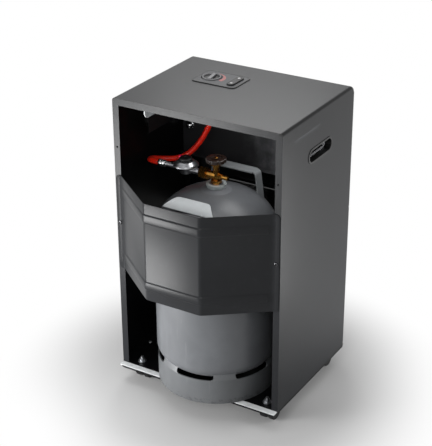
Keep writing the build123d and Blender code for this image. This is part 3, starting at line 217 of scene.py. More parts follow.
shell_low, shell_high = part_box("cabinet_shell")
knob_low, knob_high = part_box("control_knob")
knob_middle = (knob_low + knob_high) / 2
# the seam fold and the relief notches are painted black on the coat, as painted shadow
SEAM_WIDTH = 0.0034
SKIN = 0.0006  # what lies deeper than this below the outside is the inside
NOTCH_X, NOTCH_Y, NOTCH_Z = 0.009, 0.0045, 0.006  # relief notch at each rear top corner
ARC_FROM, ARC_TO = -1.4, 0.42  # radians round the knob
ARC_INSIDE = (0.0275, 0.0285)  # soft edges of the printed arc
ARC_OUTSIDE = (0.0295, 0.0305)
ARC_GROWTH = 0.008
SCUFFS_TOP = 0.062
NECK_COLLAR_TOP = 0.5645


def painted_shade_inside(finish):
    """1 on the faces of the shell that look into the cabinet, which the coat paints black as
    painted shade.
    """
    across = abs(finish.x) < shell_high.x - SKIN
    along = finish.y.within(shell_low.y + SKIN, shell_high.y - SKIN)
    return across * along * (finish.z < shell_high.z - SKIN)


def painted_seam_shadow(finish):
    """1 in the fold round the rear and sides of the top and at the relief notches, where a shadow
    is painted black.
    """
    on_top = finish.z > shell_high.z - SKIN
    across = abs(finish.x) - (shell_high.x - SEAM_WIDTH)
    along = finish.y - (shell_high.y - SEAM_WIDTH)
    fold = on_top * (across.maths("MAXIMUM", across, along) > 0)
    near_end = abs(finish.x) > shell_high.x - NOTCH_X
    near_top = finish.z > shell_high.z - NOTCH_Z
    notch = near_end * (finish.y > shell_high.y - NOTCH_Y) * near_top
    return fold.maths("MAXIMUM", fold, notch)


def heat_arc(finish):
    """1 in the printed arc that widens round the knob."""
    out_x = knob_middle.x - finish.x
    out_y = finish.y - knob_middle.y
    reach = (out_x * out_x + out_y * out_y) ** 0.5
    angle = finish.x.maths("ARCTAN2", out_y, out_x)
    growth = angle.step(ARC_FROM, ARC_TO)
    band = reach.step(*ARC_INSIDE) * (1 - (reach - ARC_GROWTH * growth).step(*ARC_OUTSIDE))
    return band * angle.within(ARC_FROM, ARC_TO)


def powder_coat(name, colour, shade_inside=None, groove=None, printed=None):
    """Fine-textured anthracite powder coat; the masks paint one panel's print, a painted shadow
    along its seam and painted shade on its inside faces.
    """
    finish = Finish(name, Specular_IOR_Level=0.15)
    grain = finish.noise(1500.0, 3.0, 0.6)
    cloud = finish.noise(9.0)
    dust = finish.noise(55.0, 5.0, 0.7).step(0.52, 0.8)
    shade = finish.mix(cloud.step(0.3, 0.7), rgba(colour), rgba(tint(colour, 1.07)))
    shade = finish.mix(0.12 * dust, shade, rgba(tint(colour, 2.0)))
    if printed:
        shade = finish.mix(0.62 * printed(finish), shade, rgba(PRINT_RED))
    # painted shadow: black along the seam and in the relief notches
    if groove:
        shade = finish.mix(groove(finish), shade, rgba(BLACK_AND_PAINTED_SHADE))
    # painted shade: the inside faces are coloured black
    if shade_inside:
        shade = finish.mix(shade_inside(finish), shade, rgba(BLACK_AND_PAINTED_SHADE))
    finish.set(
        Base_Color=shade,
        Roughness=0.26 + 0.06 * grain + 0.04 * cloud,
        Normal=finish.bump(grain, 0.14, 0.0004),
    )
    return finish.material


def enamel(name, colour, rough=0.4, wear=0.25, scuffed_below=None, below=None):
    """Sprayed enamel with orange peel and scratches, another colour below a level."""
    finish = Finish(name, Specular_IOR_Level=0.4)
    peel = finish.noise(420.0, 2.0)
    cloud = finish.noise(12.0, 4.0)
    upright = finish.stretched((1.0, 1.0, 0.06))
    scratches = finish.noise(130.0, 4.0, 0.6, upright).step(0.62, 0.72)
    shade = finish.mix(cloud.step(0.35, 0.7), rgba(colour), rgba(tint(colour, 1.08)))
    shade = finish.mix(wear * scratches, shade, rgba(tint(colour, 1.35)))
    if below:
        height, lower = below
        shade = finish.mix(finish.z < height, shade, rgba(lower))
    if scuffed_below:
        scuffs = finish.noise(90.0, 6.0, 0.7).step(0.5, 0.62)
        low = 1 - finish.z.step(scuffed_below, scuffed_below + 0.006)
        shade = finish.mix(0.5 * scuffs * low, shade, rgba(tint(colour, 0.55)))
    finish.set(
        Base_Color=shade,
        Roughness=rough - 0.05 + 0.12 * cloud + 0.1 * scratches,
        Normal=finish.bump(peel, 0.08, 0.0006),
    )
    return finish.material


def metal(name, colour, rough=0.25, tarnish=None):
    """Bare or plated metal with a fine grain, uneven tarnish and dull spots."""
    finish = Finish(name, Metallic=1.0)
    grain = finish.noise(700.0, 3.0, 0.6)
    cloud = finish.noise(60.0, 4.0, 0.6)
    spots = finish.noise(320.0, 2.0, 0.5).step(0.6, 0.72)
    shade = finish.mix(cloud.step(0.35, 0.75), rgba(colour), rgba(tarnish or tint(colour, 0.8)))
    shade = finish.mix(0.35 * spots, shade, rgba(tint(tarnish or colour, 0.6)))
    finish.set(
        Base_Color=shade,
        Roughness=rough - 0.04 + 0.14 * cloud + 0.08 * grain,
        Normal=finish.bump(grain, 0.08, 0.0003),
    )
    return finish.material


def steel_with_painted_shade(name, lit_colour, shaded_colour):
    """Galvanised sheet, painted lighter towards -X and darker towards +X as painted shade."""
    finish = Finish(name, Specular_IOR_Level=0.4)
    spangle = finish.cells(55.0, "Color")
    cloud = finish.noise(26.0, 6.0, 0.65)
    streaks = finish.noise(40.0, 4.0, 0.6, finish.stretched((1.0, 1.0, 0.15)))
    # painted shade: darker towards +X, its edge broken up by noise
    painted_shade = (finish.x + 0.16 * cloud + 0.06 * streaks).step(-0.12, 0.16)
    shade = finish.mix(painted_shade, rgba(lit_colour), rgba(shaded_colour))
    finish.set(
        Base_Color=finish.mix(0.25 * spangle, shade, rgba(shaded_colour)),
        Metallic=0.35,
        Roughness=0.32 + 0.2 * cloud,
        Normal=finish.bump(streaks, 0.1, 0.0006),
    )
    return finish.material


def moulded(name, colour, rough=0.38, shine=0.5):
    """Moulded plastic with a fine spark-eroded grain."""
    finish = Finish(name, Specular_IOR_Level=shine)
    grain = finish.noise(1100.0, 2.0, 0.6)
    cloud = finish.noise(30.0)
    finish.set(
        Base_Color=finish.mix(cloud.step(0.3, 0.7), rgba(colour), rgba(tint(colour, 1.15))),
        Roughness=rough + 0.12 * grain + 0.05 * cloud,
        Normal=finish.bump(grain, 0.1, 0.0003),
    )
    return finish.material


def hose_rubber(name, colour):
    """Smooth extruded rubber with an uneven sheen."""
    finish = Finish(name, Specular_IOR_Level=0.45)
    cloud = finish.noise(70.0, 4.0)
    skin = finish.noise(900.0, 2.0)
    finish.set(
        Base_Color=finish.mix(cloud.step(0.4, 0.75), rgba(colour), rgba(tint(colour, 0.82))),
        Roughness=0.3 + 0.16 * cloud,
        Normal=finish.bump(skin, 0.1, 0.0003),
    )
    return finish.material


def fired_ceramic(name, colour):
    """Porous fired clay, lightly browned by the flame."""
    finish = Finish(name, Specular_IOR_Level=0.2)
    pores = finish.cells(2600.0)
    cloud = finish.noise(22.0, 5.0, 0.6)
    shade = finish.mix(cloud.step(0.4, 0.7), rgba(colour), rgba((188, 168, 140)))
    finish.set(
        # painted shade: the pores are coloured darker
        Base_Color=finish.mix(1 - pores.step(0.05, 0.35), shade, rgba(tint(colour, 0.6))),
        Roughness=0.78 + 0.12 * cloud,
        Normal=finish.bump(pores, 0.4, 0.0005),
    )
    return finish.material


# the shell's coat carries painted shade: black inside faces and a black painted shadow along the
# top's seam
coat = powder_coat("anthracite_coat", COAT_GREY, shade_inside=painted_shade_inside, groove=painted_seam_shadow)
coat_plain = powder_coat("anthracite_coat_plain", COAT_GREY)
coat_printed = powder_coat("anthracite_coat_printed", tint(COAT_GREY, 1.5), printed=heat_arc)
bay_black = powder_coat("bay_black", BLACK_AND_PAINTED_SHADE)
foot_paint = enamel("foot_ring_grey", (88, 90, 92), 0.42, 0.4, scuffed_below=SCUFFS_TOP)
bottle_paint = enamel("bottle_grey", BOTTLE_GREY, 0.36)
neck_collar = (NECK_COLLAR_TOP, tint(BOTTLE_GREY, 1.15))
neck_paint = enamel("neck_grey", (150, 156, 156), 0.4, below=neck_collar)
handle_paint = enamel("handle_grey", (120, 123, 125), 0.4)
plate_paint = enamel("plate_grey", (200, 204, 206), 0.4)
tread_paint = enamel("tread_grey", (190, 192, 193), 0.5)
brass = metal("brass", (190, 138, 66), 0.2, (112, 74, 34))
zinc = metal("zinc_plate", (180, 182, 185), 0.28)
# heat shield: painted shade makes it darker towards +X
shield_steel = steel_with_painted_shade("steel_with_painted_shade", (176, 177, 181), (46, 46, 48))
black_zinc = metal("black_zinc", (70, 70, 72), 0.16)
bright = metal("bright_plate", (228, 229, 231), 0.1)
silver = metal("die_cast_silver", (176, 177, 180), 0.26, (140, 141, 144))
wheel_bakelite = moulded("handwheel_bakelite", (30, 18, 13), 0.26)
black_plastic = moulded("moulded_black", (10, 10, 11), 0.4, 0.35)
knob_grey = moulded("knob_grey", (88, 88, 90), 0.36)
print_grey = moulded("dot_grey", (176, 176, 176), 0.5)
tyre = moulded("castor_nylon", (18, 18, 19), 0.5, 0.35)
red_plastic = moulded("red_button", (226, 26, 84), 0.25)
ceramic = fired_ceramic("ceramic_white", (216, 208, 192))
hose_red = hose_rubber("hose_red", (232, 34, 8))


# ------------------------------------------------------------------ shaping
CORNER_SEGMENTS = 8
SAME_LEVEL = 0.01  # millimetres
SAME_POINT = 0.002


def chain(shape, places):
    """Points joined by edges, in their order."""
    points = [shape.verts.new(place) for place in places]
    return points, [shape.edges.new(pair) for pair in zip(points, points[1:])]


def draw_out(shape, edges, reach):
    """Walls from edges, reach being where their far side moves to."""
    drawn = bmesh.ops.extrude_edge_only(shape, edges=edges)["geom"]
    bmesh.ops.translate(shape, vec=reach, verts=only_points(drawn))


def only_points(parts):
    return [part for part in parts if isinstance(part, bmesh.types.BMVert)]


def round_points(shape, points, width, segments):
    """Round off corners of a sheet or outline."""
    bmesh.ops.bevel(
        shape,
        geom=points,
        offset=width,
        segments=segments,
        profile=0.5,
        affect="VERTICES",
        material=-1,
    )


def lathe(outline, steps=48):
    """A turned shape about Z from (radius, height) points."""
    shape = bmesh.new()
    points, line = chain(shape, [(radius, 0, height) for radius, height in outline])
    bmesh.ops.spin(
        shape,
        geom=points + line,
        cent=(0, 0, 0),
        axis=(0, 0, 1),
        angle=math.tau,
        steps=steps,
        use_merge=True,
    )
    return shape


def soften(shape, edges, width, segments=3):
    """Round off edges."""
    bmesh.ops.bevel(
        shape,
        geom=edges,
        offset=width,
        segments=segments,
        profile=0.5,
        affect="EDGES",
        material=-1,
    )


def block(corners, height, corner_radius=0, rim=0):
    """A flat outline in X and Y with rounded corners, raised by height, its top rim softened."""
    shape = bmesh.new()
    points = [shape.verts.new((x, y, 0)) for x, y in corners]
    shape.faces.new(points)
    if corner_radius:
        round_points(shape, points, corner_radius, CORNER_SEGMENTS)
    raised = bmesh.ops.extrude_face_region(shape, geom=shape.faces[:])["geom"]
    bmesh.ops.translate(shape, vec=(0, 0, height), verts=only_points(raised))
    if rim:
        soften(shape, level(shape, height), rim)
    return shape


def level(shape, height):
    """The edges that lie at a height."""
    return [
        edge
        for edge in shape.edges
        if all(abs(point.co.z - height) < SAME_LEVEL for point in edge.verts)
    ]


def oblong(length, breadth):
    """Corners of a rectangle about the origin."""
    x, y = length / 2, breadth / 2
    return [(-x, -y), (x, -y), (x, y), (-x, y)]


def hexagon(flats):
    """Corners of a hexagon about the origin, the first on X."""
    radius = flats / math.sqrt(3)
    return [
        (radius * math.cos(math.radians(60 * k)), radius * math.sin(math.radians(60 * k)))
        for k in range(6)
    ]


ALONG = {
    "x": Matrix.Rotation(math.radians(90), 3, "Y"),
    "-x": Matrix.Rotation(math.radians(-90), 3, "Y"),
    "y": Matrix.Rotation(math.radians(-90), 3, "X"),
    "-y": Matrix.Rotation(math.radians(90), 3, "X"),
}


def stand(shape, place, along=None, turn=0):
    """Turn a shape about Z, then from Z to another axis, and move it to its place."""
    bmesh.ops.rotate(
        shape,
        cent=(0, 0, 0),
        matrix=Matrix.Rotation(math.radians(turn), 3, "Z"),
        verts=shape.verts,
    )
    if along:
        bmesh.ops.rotate(shape, cent=(0, 0, 0), matrix=ALONG[along], verts=shape.verts)
    bmesh.ops.translate(shape, vec=place, verts=shape.verts)
    return shape


def together(*shapes):
    """Several shapes as one."""
    whole = bmesh.new()
    for shape in shapes:
        part = bpy.data.meshes.new("part")
        shape.to_mesh(part)
        shape.free()
        whole.from_mesh(part)
        bpy.data.meshes.remove(part)
    return whole


MILLIMETRES = (0.001, 0.001, 0.001)


def fit(shape, name, material, body="cabinet", instead_of=(), sharp=35):
    """Make a shape drawn in millimetres a finished piece in metres that rides on a body."""
    bmesh.ops.remove_doubles(shape, verts=shape.verts, dist=SAME_POINT)
    bmesh.ops.recalc_face_normals(shape, faces=shape.faces)
    bmesh.ops.scale(shape, vec=MILLIMETRES, verts=shape.verts)
    mesh = bpy.data.meshes.new(name)
    shape.to_mesh(mesh)
    shape.free()
    mesh.shade_smooth()
    mesh.set_sharp_from_angle(angle=math.radians(sharp))
    mesh.materials.append(material)
    piece = bpy.data.objects.new(name, mesh)
    bpy.context.scene.collection.objects.link(piece)
    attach(piece, body)
    if instead_of:
        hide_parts(*instead_of)
    return piece


# ------------------------------------------------------------------ carried-over nodes
DRESS = {
    coat: ("cabinet_shell",),
    coat_plain: ("burner_front_panel", "lower_front_panel"),
    coat_printed: ("control_panel",),
    bay_black: ("floor_tray", "shield_uprights", "burner_housing"),
    bottle_paint: ("bottle_body",),
    foot_paint: ("bottle_foot_ring",),
    neck_paint: ("bottle_neck_ring",),
    handle_paint: ("bottle_handle",),
    plate_paint: ("bottle_shoulder_plate", "cover_catch"),
    brass: ("bottle_valve_body", "valve_stem", "pilot_burner"),
    zinc: (
        "castor_stems",
        "castor_nuts",
        "thermocouple",
        "burner_pipe",
        "valve_spindle",
        "gas_valve_block",
    ),
    shield_steel: ("heat_shield",),
    bright: ("shield_dome_nut", "wire_guard", "reflector"),
    black_plastic: ("handle_rim_left", "handle_rim_right", "panel_bezel", "piezo_igniter"),
    wheel_bakelite: ("valve_handwheel",),
    red_plastic: ("regulator_indicator",),
    ceramic: ("spark_electrode",),
}
for spot in ("rear_left", "rear_right", "front_left", "front_right"):
    DRESS[black_plastic] += (f"castor_hood_{spot}",)
    DRESS[tyre] = DRESS.get(tyre, ()) + (f"castor_wheels_{spot}",)
    DRESS[zinc] += (f"castor_axle_{spot}",)

for material, names in DRESS.items():
    for name in names:
        slots = nodes[name].data.materials
        slots.clear()
        slots.append(material)


# ------------------------------------------------------------------ gas hose
HOSE_DIAMETER = 0.014
HOSE_ROUTE = [
    (0.154, 0.0555, 0.592),
    (0.170, 0.055, 0.591),
    (0.185, 0.047, 0.588),
    (0.195, 0.033, 0.583),
    (0.199, 0.015, 0.577),
    (0.196, -0.004, 0.570),
    (0.186, -0.022, 0.565),
    (0.171, -0.037, 0.563),
    (0.154, -0.051, 0.566),
    (0.137, -0.064, 0.579),
    (0.121, -0.076, 0.602),
    (0.109, -0.085, 0.626),
    (0.099, -0.091, 0.652),
    (0.095, -0.0945, 0.679),
    (0.095, -0.0945, 0.704),
]


def smooth_tube(name, points, radius):
    """A tube along an open smooth curve with those control points."""
    curve = bpy.data.curves.new(name, "CURVE")
    curve.dimensions = "3D"
    curve.bevel_depth = radius
    curve.bevel_resolution = 6
    curve.use_fill_caps = True
    curve.resolution_u = 12
    spline = curve.splines.new("NURBS")
    spline.points.add(len(points) - 1)
    for control, point in zip(spline.points, points):
        control.co = (*point, 1.0)
    spline.order_u = 3
    spline.use_endpoint_u = True
    piece = bpy.data.objects.new(name, curve)
    bpy.context.scene.collection.objects.link(piece)
    return piece


hose = smooth_tube("red_gas_hose", HOSE_ROUTE, HOSE_DIAMETER / 2)
hose.data.materials.append(hose_red)
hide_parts("gas_hose")
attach(hose, "cabinet")

# ------------------------------------------------------------------ bottle guard
GUARD_LOW, GUARD_HEIGHT = 326, 250
GUARD_SHEET = 1.5
GUARD_LINE = [(223, 139), (208.6, 139), (199.2, 146.2), (74.6, 242)]  # outer face, right half
BEADS = [(351, 376), (526, 551)]
BEAD_STEPS = [(1.2, 0.35), (2.0, 1.8), (1.2, 0.35)]  # width and rise from foot to crown
FOLD_RADIUS = 5
FOLD_SEGMENTS = 4
LEAST_FOLD = 0.2  # radians
EAR_RADIUS, EAR_SEGMENTS = 10, 6
EAR_FROM = 222.9


def guard_sheet():
    """The folded sheet, its beads pressed outwards across the three facets."""
    shape = bmesh.new()
    line = GUARD_LINE + [(-x, y) for x, y in reversed(GUARD_LINE)]
    edges = chain(shape, [(x, y, GUARD_LOW) for x, y in line])[1]
    draw_out(shape, edges, (0, 0, GUARD_HEIGHT))
    folds = [
        edge
        for edge in shape.edges
        if len(edge.link_faces) == 2 and abs(edge.calc_face_angle(0)) > LEAST_FOLD
    ]
    soften(shape, folds, FOLD_RADIUS, FOLD_SEGMENTS)
    for bead in BEADS:
        for height in bead:
            whole = shape.verts[:] + shape.edges[:] + shape.faces[:]
            bmesh.ops.bisect_plane(
                shape, geom=whole, plane_co=(0, 0, height), plane_no=(0, 0, 1), dist=0.01
            )
    middle = max(shape.faces, key=lambda face: face.calc_center_median().y)
    if middle.normal.y < 0:
        bmesh.ops.reverse_faces(shape, faces=shape.faces[:])
    for low, high in BEADS:
        pressed = [
            face
            for face in shape.faces
            if low < face.calc_center_median().z < high
            and abs(face.calc_center_median().x) < GUARD_LINE[2][0]
        ]
        for width, rise in BEAD_STEPS:
            bmesh.ops.inset_region(
                shape,
                faces=pressed,
                thickness=width,
                depth=rise,
                use_even_offset=True,
                use_boundary=True,
            )
    corners = [
        point
        for point in shape.verts
        if abs(point.co.x) > EAR_FROM and len(point.link_edges) == 2
    ]
    round_points(shape, corners, EAR_RADIUS, EAR_SEGMENTS)
    return shape


guard = fit(
    guard_sheet(),
    "folded_bottle_guard",
    coat_plain,
    instead_of=["bottle_guard"],
    sharp=50,
)
guard_wall = guard.modifiers.new("sheet", "SOLIDIFY")
guard_wall.thickness = GUARD_SHEET / 1000
guard_wall.offset = -1
guard_rim = guard.modifiers.new("rim", "BEVEL")
guard_rim.width = 0.0004
guard_rim.segments = 2
guard_rim.limit_method = "ANGLE"
guard_rim.angle_limit = math.radians(60)

# ------------------------------------------------------------------ controls in the top
KNOB_X, KNOB_Y = 95, -94.5
KEY_X = 29.5
KNOB_BAR_TURN = 100
KNOB_DISH_TOP = 769.6
KNOB_DISH_LINE = [
    (4.2, 763),
    (4.2, 764),
    (0, 769.4),
    (12, KNOB_DISH_TOP),
    (17.6, 770.2),
    (19.4, 771.3),
    (19.4, 763),
    (4.2, 763),
]
KEY_BREADTH, KEY_LENGTH, KEY_HEIGHT = 20, 62, 11.8
KEY_FOOT = 763
PLUNGER_LINE = [(0, 741), (3, 741), (3, 763.5), (0, 763.5)]
DOT_LINE = [(0, 0.35), (2.9, 0.45), (3.5, 0.2), (3.5, -0.6), (0, -0.6)]
DOT_LEVEL = 774.3
DOT_REACH = 19

knob_ring = lathe(
    [
        (19.4, 768),
        (19.4, 771.5),
        (20.0, 773.2),
        (20.9, 774),
        (22.2, 774),
        (23.2, 773.6),
        (23.9, 772.4),
        (24, 771),
        (24, 762),
        (19.4, 762),
        (19.4, 768),
    ],
    72,
)
stand(knob_ring, (KNOB_X, KNOB_Y, 0))
fit(knob_ring, "knob_ring", knob_grey, "knob", ["control_knob"], 50)
knob_dish = stand(lathe(KNOB_DISH_LINE, 72), (KNOB_X, KNOB_Y, 0))
fit(knob_dish, "knob_dish", black_plastic, "knob")
knob_bar = block(oblong(40, 9.6), height=5.2, corner_radius=3.2, rim=1.1)
stand(knob_bar, (KNOB_X, KNOB_Y, KNOB_DISH_TOP), turn=KNOB_BAR_TURN)
fit(knob_bar, "knob_bar", knob_grey, "knob", sharp=50)

key_cap = block(oblong(KEY_BREADTH, KEY_LENGTH), KEY_HEIGHT, corner_radius=9.9, rim=1.4)
top_face = max(key_cap.faces, key=lambda face: face.calc_center_median().z)
bmesh.ops.inset_region(key_cap, faces=[top_face], thickness=1.6, depth=-0.5, use_even_offset=True)
stand(key_cap, (KEY_X, KNOB_Y, KEY_FOOT))
plunger = stand(lathe(PLUNGER_LINE, 24), (KEY_X, KNOB_Y, 0))
fit(
    together(key_cap, plunger),
    "ignition_key_cap",
    black_plastic,
    "key",
    ["ignition_key"],
)
dots = [
    stand(lathe(DOT_LINE, 32), (KEY_X, KNOB_Y + reach, DOT_LEVEL))
    for reach in (-DOT_REACH, DOT_REACH)
]
fit(together(*dots), "ignition_key_dots", print_grey, "key")

# ------------------------------------------------------------------ regulator
BOTTLE_Y = 55.5
OUTLET_Z = 592
REGULATOR_X = 77

regulator_bell = lathe(
    [
        (0, 582),
        (13.2, 582),
        (14.6, 582.8),
        (15, 584),
        (15, 591),
        (16.5, 594),
        (20, 596.6),
        (28, 599.2),
        (30.2, 600),
        (31, 601),
        (31, 604),
        (30.4, 605),
        (29.2, 605.2),
        (28.2, 604.6),
        (27.9, 603.8),
        (27.2, 603.8),
        (26.9, 604.8),
        (25.6, 606),
        (21.2, 611.2),
        (19.6, 613.2),
        (18, 614),
        (0, 614),
    ],
    96,
)
stand(regulator_bell, (REGULATOR_X, BOTTLE_Y, 0))
regulator_inlet = lathe(
    [
        (0, 29.5),
        (8.2, 29.5),
        (9, 30.2),
        (9, 31.8),
        (8.2, 32.5),
        (6, 32.8),
        (6, 36.8),
        (7.4, 36.9),
        (8, 37.6),
        (8, 66),
        (0, 66),
    ]
)
stand(regulator_inlet, (0, BOTTLE_Y, OUTLET_Z), "x")
regulator_spout = lathe([(0, 84), (8, 84), (8, 97), (7.2, 99), (6.2, 100), (0, 100)])
stand(regulator_spout, (0, BOTTLE_Y, OUTLET_Z), "x")
fit(
    together(regulator_bell, regulator_inlet, regulator_spout),
    "regulator_casting",
    silver,
    instead_of=["regulator_body"],
    sharp=40,
)

RIBS, RIBS_FROM, RIB_PITCH = 9, 100, 3.6
RIB_LINE = [(4.4, 0), (5.9, 0.7), (6.3, 1.4), (5.9, 2.1), (4.4, 2.8)]
tail_outline = [(0, 99)]
for rib in range(RIBS):
    start = RIBS_FROM + rib * RIB_PITCH
    tail_outline += [(radius, start + along) for radius, along in RIB_LINE]
tail_outline += [(4.4, 133), (3.5, 133), (3.5, 148), (0, 148)]
regulator_tail = stand(lathe(tail_outline, 40), (0, BOTTLE_Y, OUTLET_Z), "x")
fit(regulator_tail, "regulator_ribbed_tail", zinc, sharp=60)

GRIP_LOW, GRIP_HIGH = 615.4, 618
GRIP_ANGLE = 5
cap_outline = [
    (0, 621.2),
    (4, 621.2),
    (4.6, 622),
    (11.5, 622),
    (14, 621.2),
    (15.4, 619.8),
    (16, GRIP_HIGH),
    (16, GRIP_LOW),
    (15.2, 614.2),
    (15.2, 614),
    (0, 614),
]


def on_a_grip(face):
    """True for every second face round the side of the cap."""
    middle = face.calc_center_median()
    sector = int(math.degrees(math.atan2(*middle.xy)) // GRIP_ANGLE)
    return GRIP_LOW < middle.z < GRIP_HIGH and sector % 2 == 1


regulator_cap = lathe(cap_outline, 72)
grips = [face for face in regulator_cap.faces if on_a_grip(face)]
bmesh.ops.inset_individual(regulator_cap, faces=grips, thickness=0.25, depth=-0.5)
stand(regulator_cap, (REGULATOR_X, BOTTLE_Y, 0))
fit(regulator_cap, "regulator_vent_cap", black_plastic, instead_of=["regulator_cap"])

CRIMPS_FROM = (139, 144.5)
CRIMP_LINE = [(8.5, 0), (7.6, 0.6), (7.6, 1.8), (8.5, 2.4)]
ferrule_outline = [(0, 134), (6.2, 134), (7.8, 134.6), (8.5, 135.8)]
for start in CRIMPS_FROM:
    ferrule_outline += [(radius, start + along) for radius, along in CRIMP_LINE]
ferrule_outline += [(8.5, 152.4), (8.1, 153.5), (7.2, 154), (7.0, 154), (7.0, 146), (0, 146)]
ferrule = stand(lathe(ferrule_outline, 56), (0, BOTTLE_Y, OUTLET_Z), "x")
fit(ferrule, "crimped_hose_ferrule", bright, instead_of=["hose_ferrule"], sharp=40)

# ------------------------------------------------------------------ union nut and screws
NUT_FROM, NUT_TO = 16.5, 36.5
NUT_FLATS = 26
SCREW_RADIUS = 2.5
HEAD_RADIUS, HEAD_HEIGHT = 5, 2.6
GUARD_SCREW_X, GUARD_SCREW_Y, GUARD_SCREW_Z = 215, 139, 451
GUARD_SHANK, TRAY_SHANK = 12, 3.7
TRAY_SCREW_X, TRAY_SCREW_Z = 214.8, 53.2
union_body = block(hexagon(NUT_FLATS), NUT_TO - NUT_FROM, rim=0.9)
stand(union_body, (NUT_FROM, BOTTLE_Y, OUTLET_Z), "x")
fit(union_body, "union_hexagon_nut", brass, "union", ["union_nut"], 25)


def cross_screw(shank):
    """A pan head screw with a cross recess, its head standing on Z = 0."""
    shape = lathe(
        [
            (0, -shank),
            (SCREW_RADIUS, -shank),
            (SCREW_RADIUS, 0),
            (HEAD_RADIUS, 0),
            (HEAD_RADIUS, 0.35 * HEAD_HEIGHT),
            (0.93 * HEAD_RADIUS, 0.72 * HEAD_HEIGHT),
            (0.8 * HEAD_RADIUS, 0.92 * HEAD_HEIGHT),
            (0.62 * HEAD_RADIUS, HEAD_HEIGHT),
        ],
        32,
    )
    reach, half = 0.5 * HEAD_RADIUS, 0.11 * HEAD_RADIUS
    arm = [(reach, -half), (reach, half), (half, half)]
    outline = []
    for quarter in range(4):
        turn = Matrix.Rotation(math.radians(90 * quarter), 2)
        outline += [turn @ Vector(point) for point in arm]
    recess = shape.faces.new([shape.verts.new((*point, HEAD_HEIGHT)) for point in outline])
    bmesh.ops.bridge_loops(shape, edges=level(shape, HEAD_HEIGHT))
    recess.normal_update()
    depth = -0.5 * HEAD_HEIGHT * recess.normal.z
    bmesh.ops.inset_region(shape, faces=[recess], thickness=0.12, depth=depth)
    return shape


screws = [
    stand(
        cross_screw(GUARD_SHANK),
        (side * GUARD_SCREW_X, GUARD_SCREW_Y, GUARD_SCREW_Z),
        "y",
        20 * side,
    )
    for side in (-1, 1)
]
fit(together(*screws), "guard_cross_screws", black_zinc, instead_of=["guard_screws"])
tray_low, tray_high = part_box("tray_screws")
screws = [
    stand(cross_screw(TRAY_SHANK), (side * TRAY_SCREW_X, place, TRAY_SCREW_Z), turn=35 * side)
    for side in (-1, 1)
    for place in (tray_low.y * 1000 + HEAD_RADIUS, tray_high.y * 1000 - HEAD_RADIUS)
]
fit(together(*screws), "tray_cross_screws", zinc, instead_of=["tray_screws"])

# ------------------------------------------------------------------ tread strip
TREAD_HALF = 224
GROOVES, GROOVES_FROM, GROOVE_PITCH = 4, 140.2, 3.5
GROOVE_LINE = [(-52, 0), (-51.3, 0.5), (-51.3, 1.3), (-52, 1.8)]
tread_line = [(-50, 137.8), (-51.4, 137.8), (-52, 138.4)]
for groove in range(GROOVES):
    start = GROOVES_FROM + GROOVE_PITCH * groove
    tread_line += [(below, start + along) for below, along in GROOVE_LINE]
tread_line += [(-52, 153.9), (-51.4, 154.5), (-50, 154.5)]
tread = stand(block(tread_line, 2 * TREAD_HALF), (-TREAD_HALF, 0, 0), "x")
fit(tread, "ribbed_tread_strip", tread_paint, instead_of=["tread_strip"])

# ------------------------------------------------------------------ finger guards
# a folded strip behind each hand opening, open at both ends and below
FINGER_LINE = [(223.2, 696), (194, 696), (194, 652), (198, 648)]
FINGER_FROM, FINGER_TO = -112, 36
FINGER_SHEET = 1
for side, word in ((-1, "right"), (1, "left")):
    strip = bmesh.new()
    line = chain(strip, [(side * x, FINGER_FROM, z) for x, z in FINGER_LINE])[1]
    draw_out(strip, line, (0, FINGER_TO - FINGER_FROM, 0))
    bmesh.ops.recalc_face_normals(strip, faces=strip.faces)
    bmesh.ops.solidify(strip, geom=strip.faces[:], thickness=FINGER_SHEET)
    fit(strip, f"finger_guard_{word}", black_plastic)

# ------------------------------------------------------------------ ceramic plaques
CELLS_ACROSS, CELLS_UP = 11, 25
CELL_RIM, CELL_DEPTH = 0.9, 0.7
PLAQUE_LOW, PLAQUE_HIGH = 506, 702
PLAQUE_WIDTH, PLAQUE_PITCH = 88, 93
PLAQUE_FACE, PLAQUE_BACK = -200.3, -188.3
for word, place in (("left", -1), ("centre", 0), ("right", 1)):
    plaque = bmesh.new()
    bmesh.ops.create_grid(plaque, x_segments=CELLS_ACROSS, y_segments=CELLS_UP, size=0.5)
    size = (PLAQUE_WIDTH, PLAQUE_HIGH - PLAQUE_LOW, 1)
    bmesh.ops.scale(plaque, vec=size, verts=plaque.verts)
    cells = plaque.faces[:]
    rim = [edge for edge in plaque.edges if edge.is_boundary]
    draw_out(plaque, rim, (0, 0, PLAQUE_FACE - PLAQUE_BACK))
    bottom = [edge for edge in plaque.edges if edge.is_boundary]
    bmesh.ops.contextual_create(plaque, geom=bottom)
    bmesh.ops.inset_individual(plaque, faces=cells, thickness=CELL_RIM, depth=-CELL_DEPTH)
    middle = (place * PLAQUE_PITCH, PLAQUE_FACE, (PLAQUE_LOW + PLAQUE_HIGH) / 2)
    stand(plaque, middle, "-y")
    node = f"ceramic_plaque_{word}"
    fit(plaque, f"{node}_cells", ceramic, instead_of=[node])


# ------------------------------------------------------------------ stage and light
AMBIENT = 0.35
FLOOR_HALF = 12.0
# the grey floor near the heater against the glowing white farther out is painted shade round the
# heater
FLOOR_GREY = 0.55
FLOOR_FADE = (0.3, 0.6)  # metres from the middle of the heater
# name, place, target, size, watts
LAMPS = [
    ("low_left_strip", (0.58, 0.88, 0.24), (0, 0.14, 0.45), (0.4, 0.45), 15),
    ("front_softbox", (0.8, -1.5, 1.95), (0, 0, 0.7), (0.7, 0.7), 8),
    ("right_softbox", (-0.75, -0.35, 0.2), (-0.225, -0.05, 0.3), (0.3, 0.5), 4),
    ("rear_softbox", (-0.45, 1.4, 1.1), (0, 0.1, 0.4), (0.5, 0.5), 4),
    ("overhead_softbox", (0.2, 0.1, 2.3), (0, 0, 0.5), (1.2, 1.2), 16),
    ("bay_softbox", (-0.13, 0.02, 0.745), (-0.1, 0.02, 0.5), (0.12, 0.2), 0.4),
]


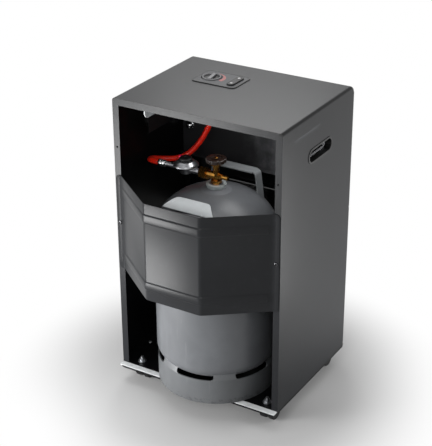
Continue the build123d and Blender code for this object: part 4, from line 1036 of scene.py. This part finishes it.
def stage_floor():
    """Grey floor, darker near the heater as painted shade, that fades to the white backdrop and
    keeps the shadow.
    """
    mesh = bpy.data.meshes.new("studio_floor")
    shape = bmesh.new()
    bmesh.ops.create_grid(shape, x_segments=1, y_segments=1, size=FLOOR_HALF)
    shape.to_mesh(mesh)
    shape.free()
    floor = bpy.data.objects.new("studio_floor", mesh)
    bpy.context.scene.collection.objects.link(floor)
    grey = (FLOOR_GREY, FLOOR_GREY, FLOOR_GREY, 1)
    finish = Finish("studio_floor", Roughness=0.9, Specular_IOR_Level=0.0, Base_Color=grey)
    away = (finish.x * finish.x + finish.y * finish.y) ** 0.5
    glow = finish.node("ShaderNodeEmission")
    shown = seen_ray(finish) * away.step(*FLOOR_FADE)
    plain = Value(finish, finish.shader.outputs[0])
    blend = finish.node("ShaderNodeMixShader", inputs={0: shown, 1: plain, 2: glow})
    finish.connect(blend, finish.tree.nodes["Material Output"].inputs["Surface"])
    mesh.materials.append(finish.material)


def seen_ray(graph):
    """1 for rays from the camera, mirrored or through glass."""
    camera_ray, glossy_ray, glass_ray = (
        graph.node("ShaderNodeLightPath", output=f"Is {kind} Ray")
        for kind in ("Camera", "Glossy", "Transmission")
    )
    either = camera_ray.maths("MAXIMUM", camera_ray, glossy_ray)
    return either.maths("MAXIMUM", either, glass_ray)


def studio_world():
    """White behind the object, and a dimmer, even light on it."""
    world = bpy.data.worlds.new("studio_world")
    bpy.context.scene.world = world
    world.use_nodes = True
    graph = Graph(world.node_tree)
    background = graph.tree.nodes["Background"]
    background.inputs["Color"].default_value = (1, 1, 1, 1)
    graph.connect(AMBIENT + (1.0 - AMBIENT) * seen_ray(graph), background.inputs["Strength"])


def softbox(name, place, target, size, power):
    """Rectangular lamp that looks at target."""
    lamp = bpy.data.lights.new(name, "AREA")
    lamp.shape = "RECTANGLE"
    lamp.size, lamp.size_y = size
    lamp.energy = power
    holder = bpy.data.objects.new(name, lamp)
    bpy.context.scene.collection.objects.link(holder)
    holder.location = place
    holder.rotation_mode = "QUATERNION"
    holder.rotation_quaternion = (Vector(target) - Vector(place)).to_track_quat("-Z", "Y")
    holder.visible_camera = False


stage_floor()
studio_world()
for lamp in LAMPS:
    softbox(*lamp)
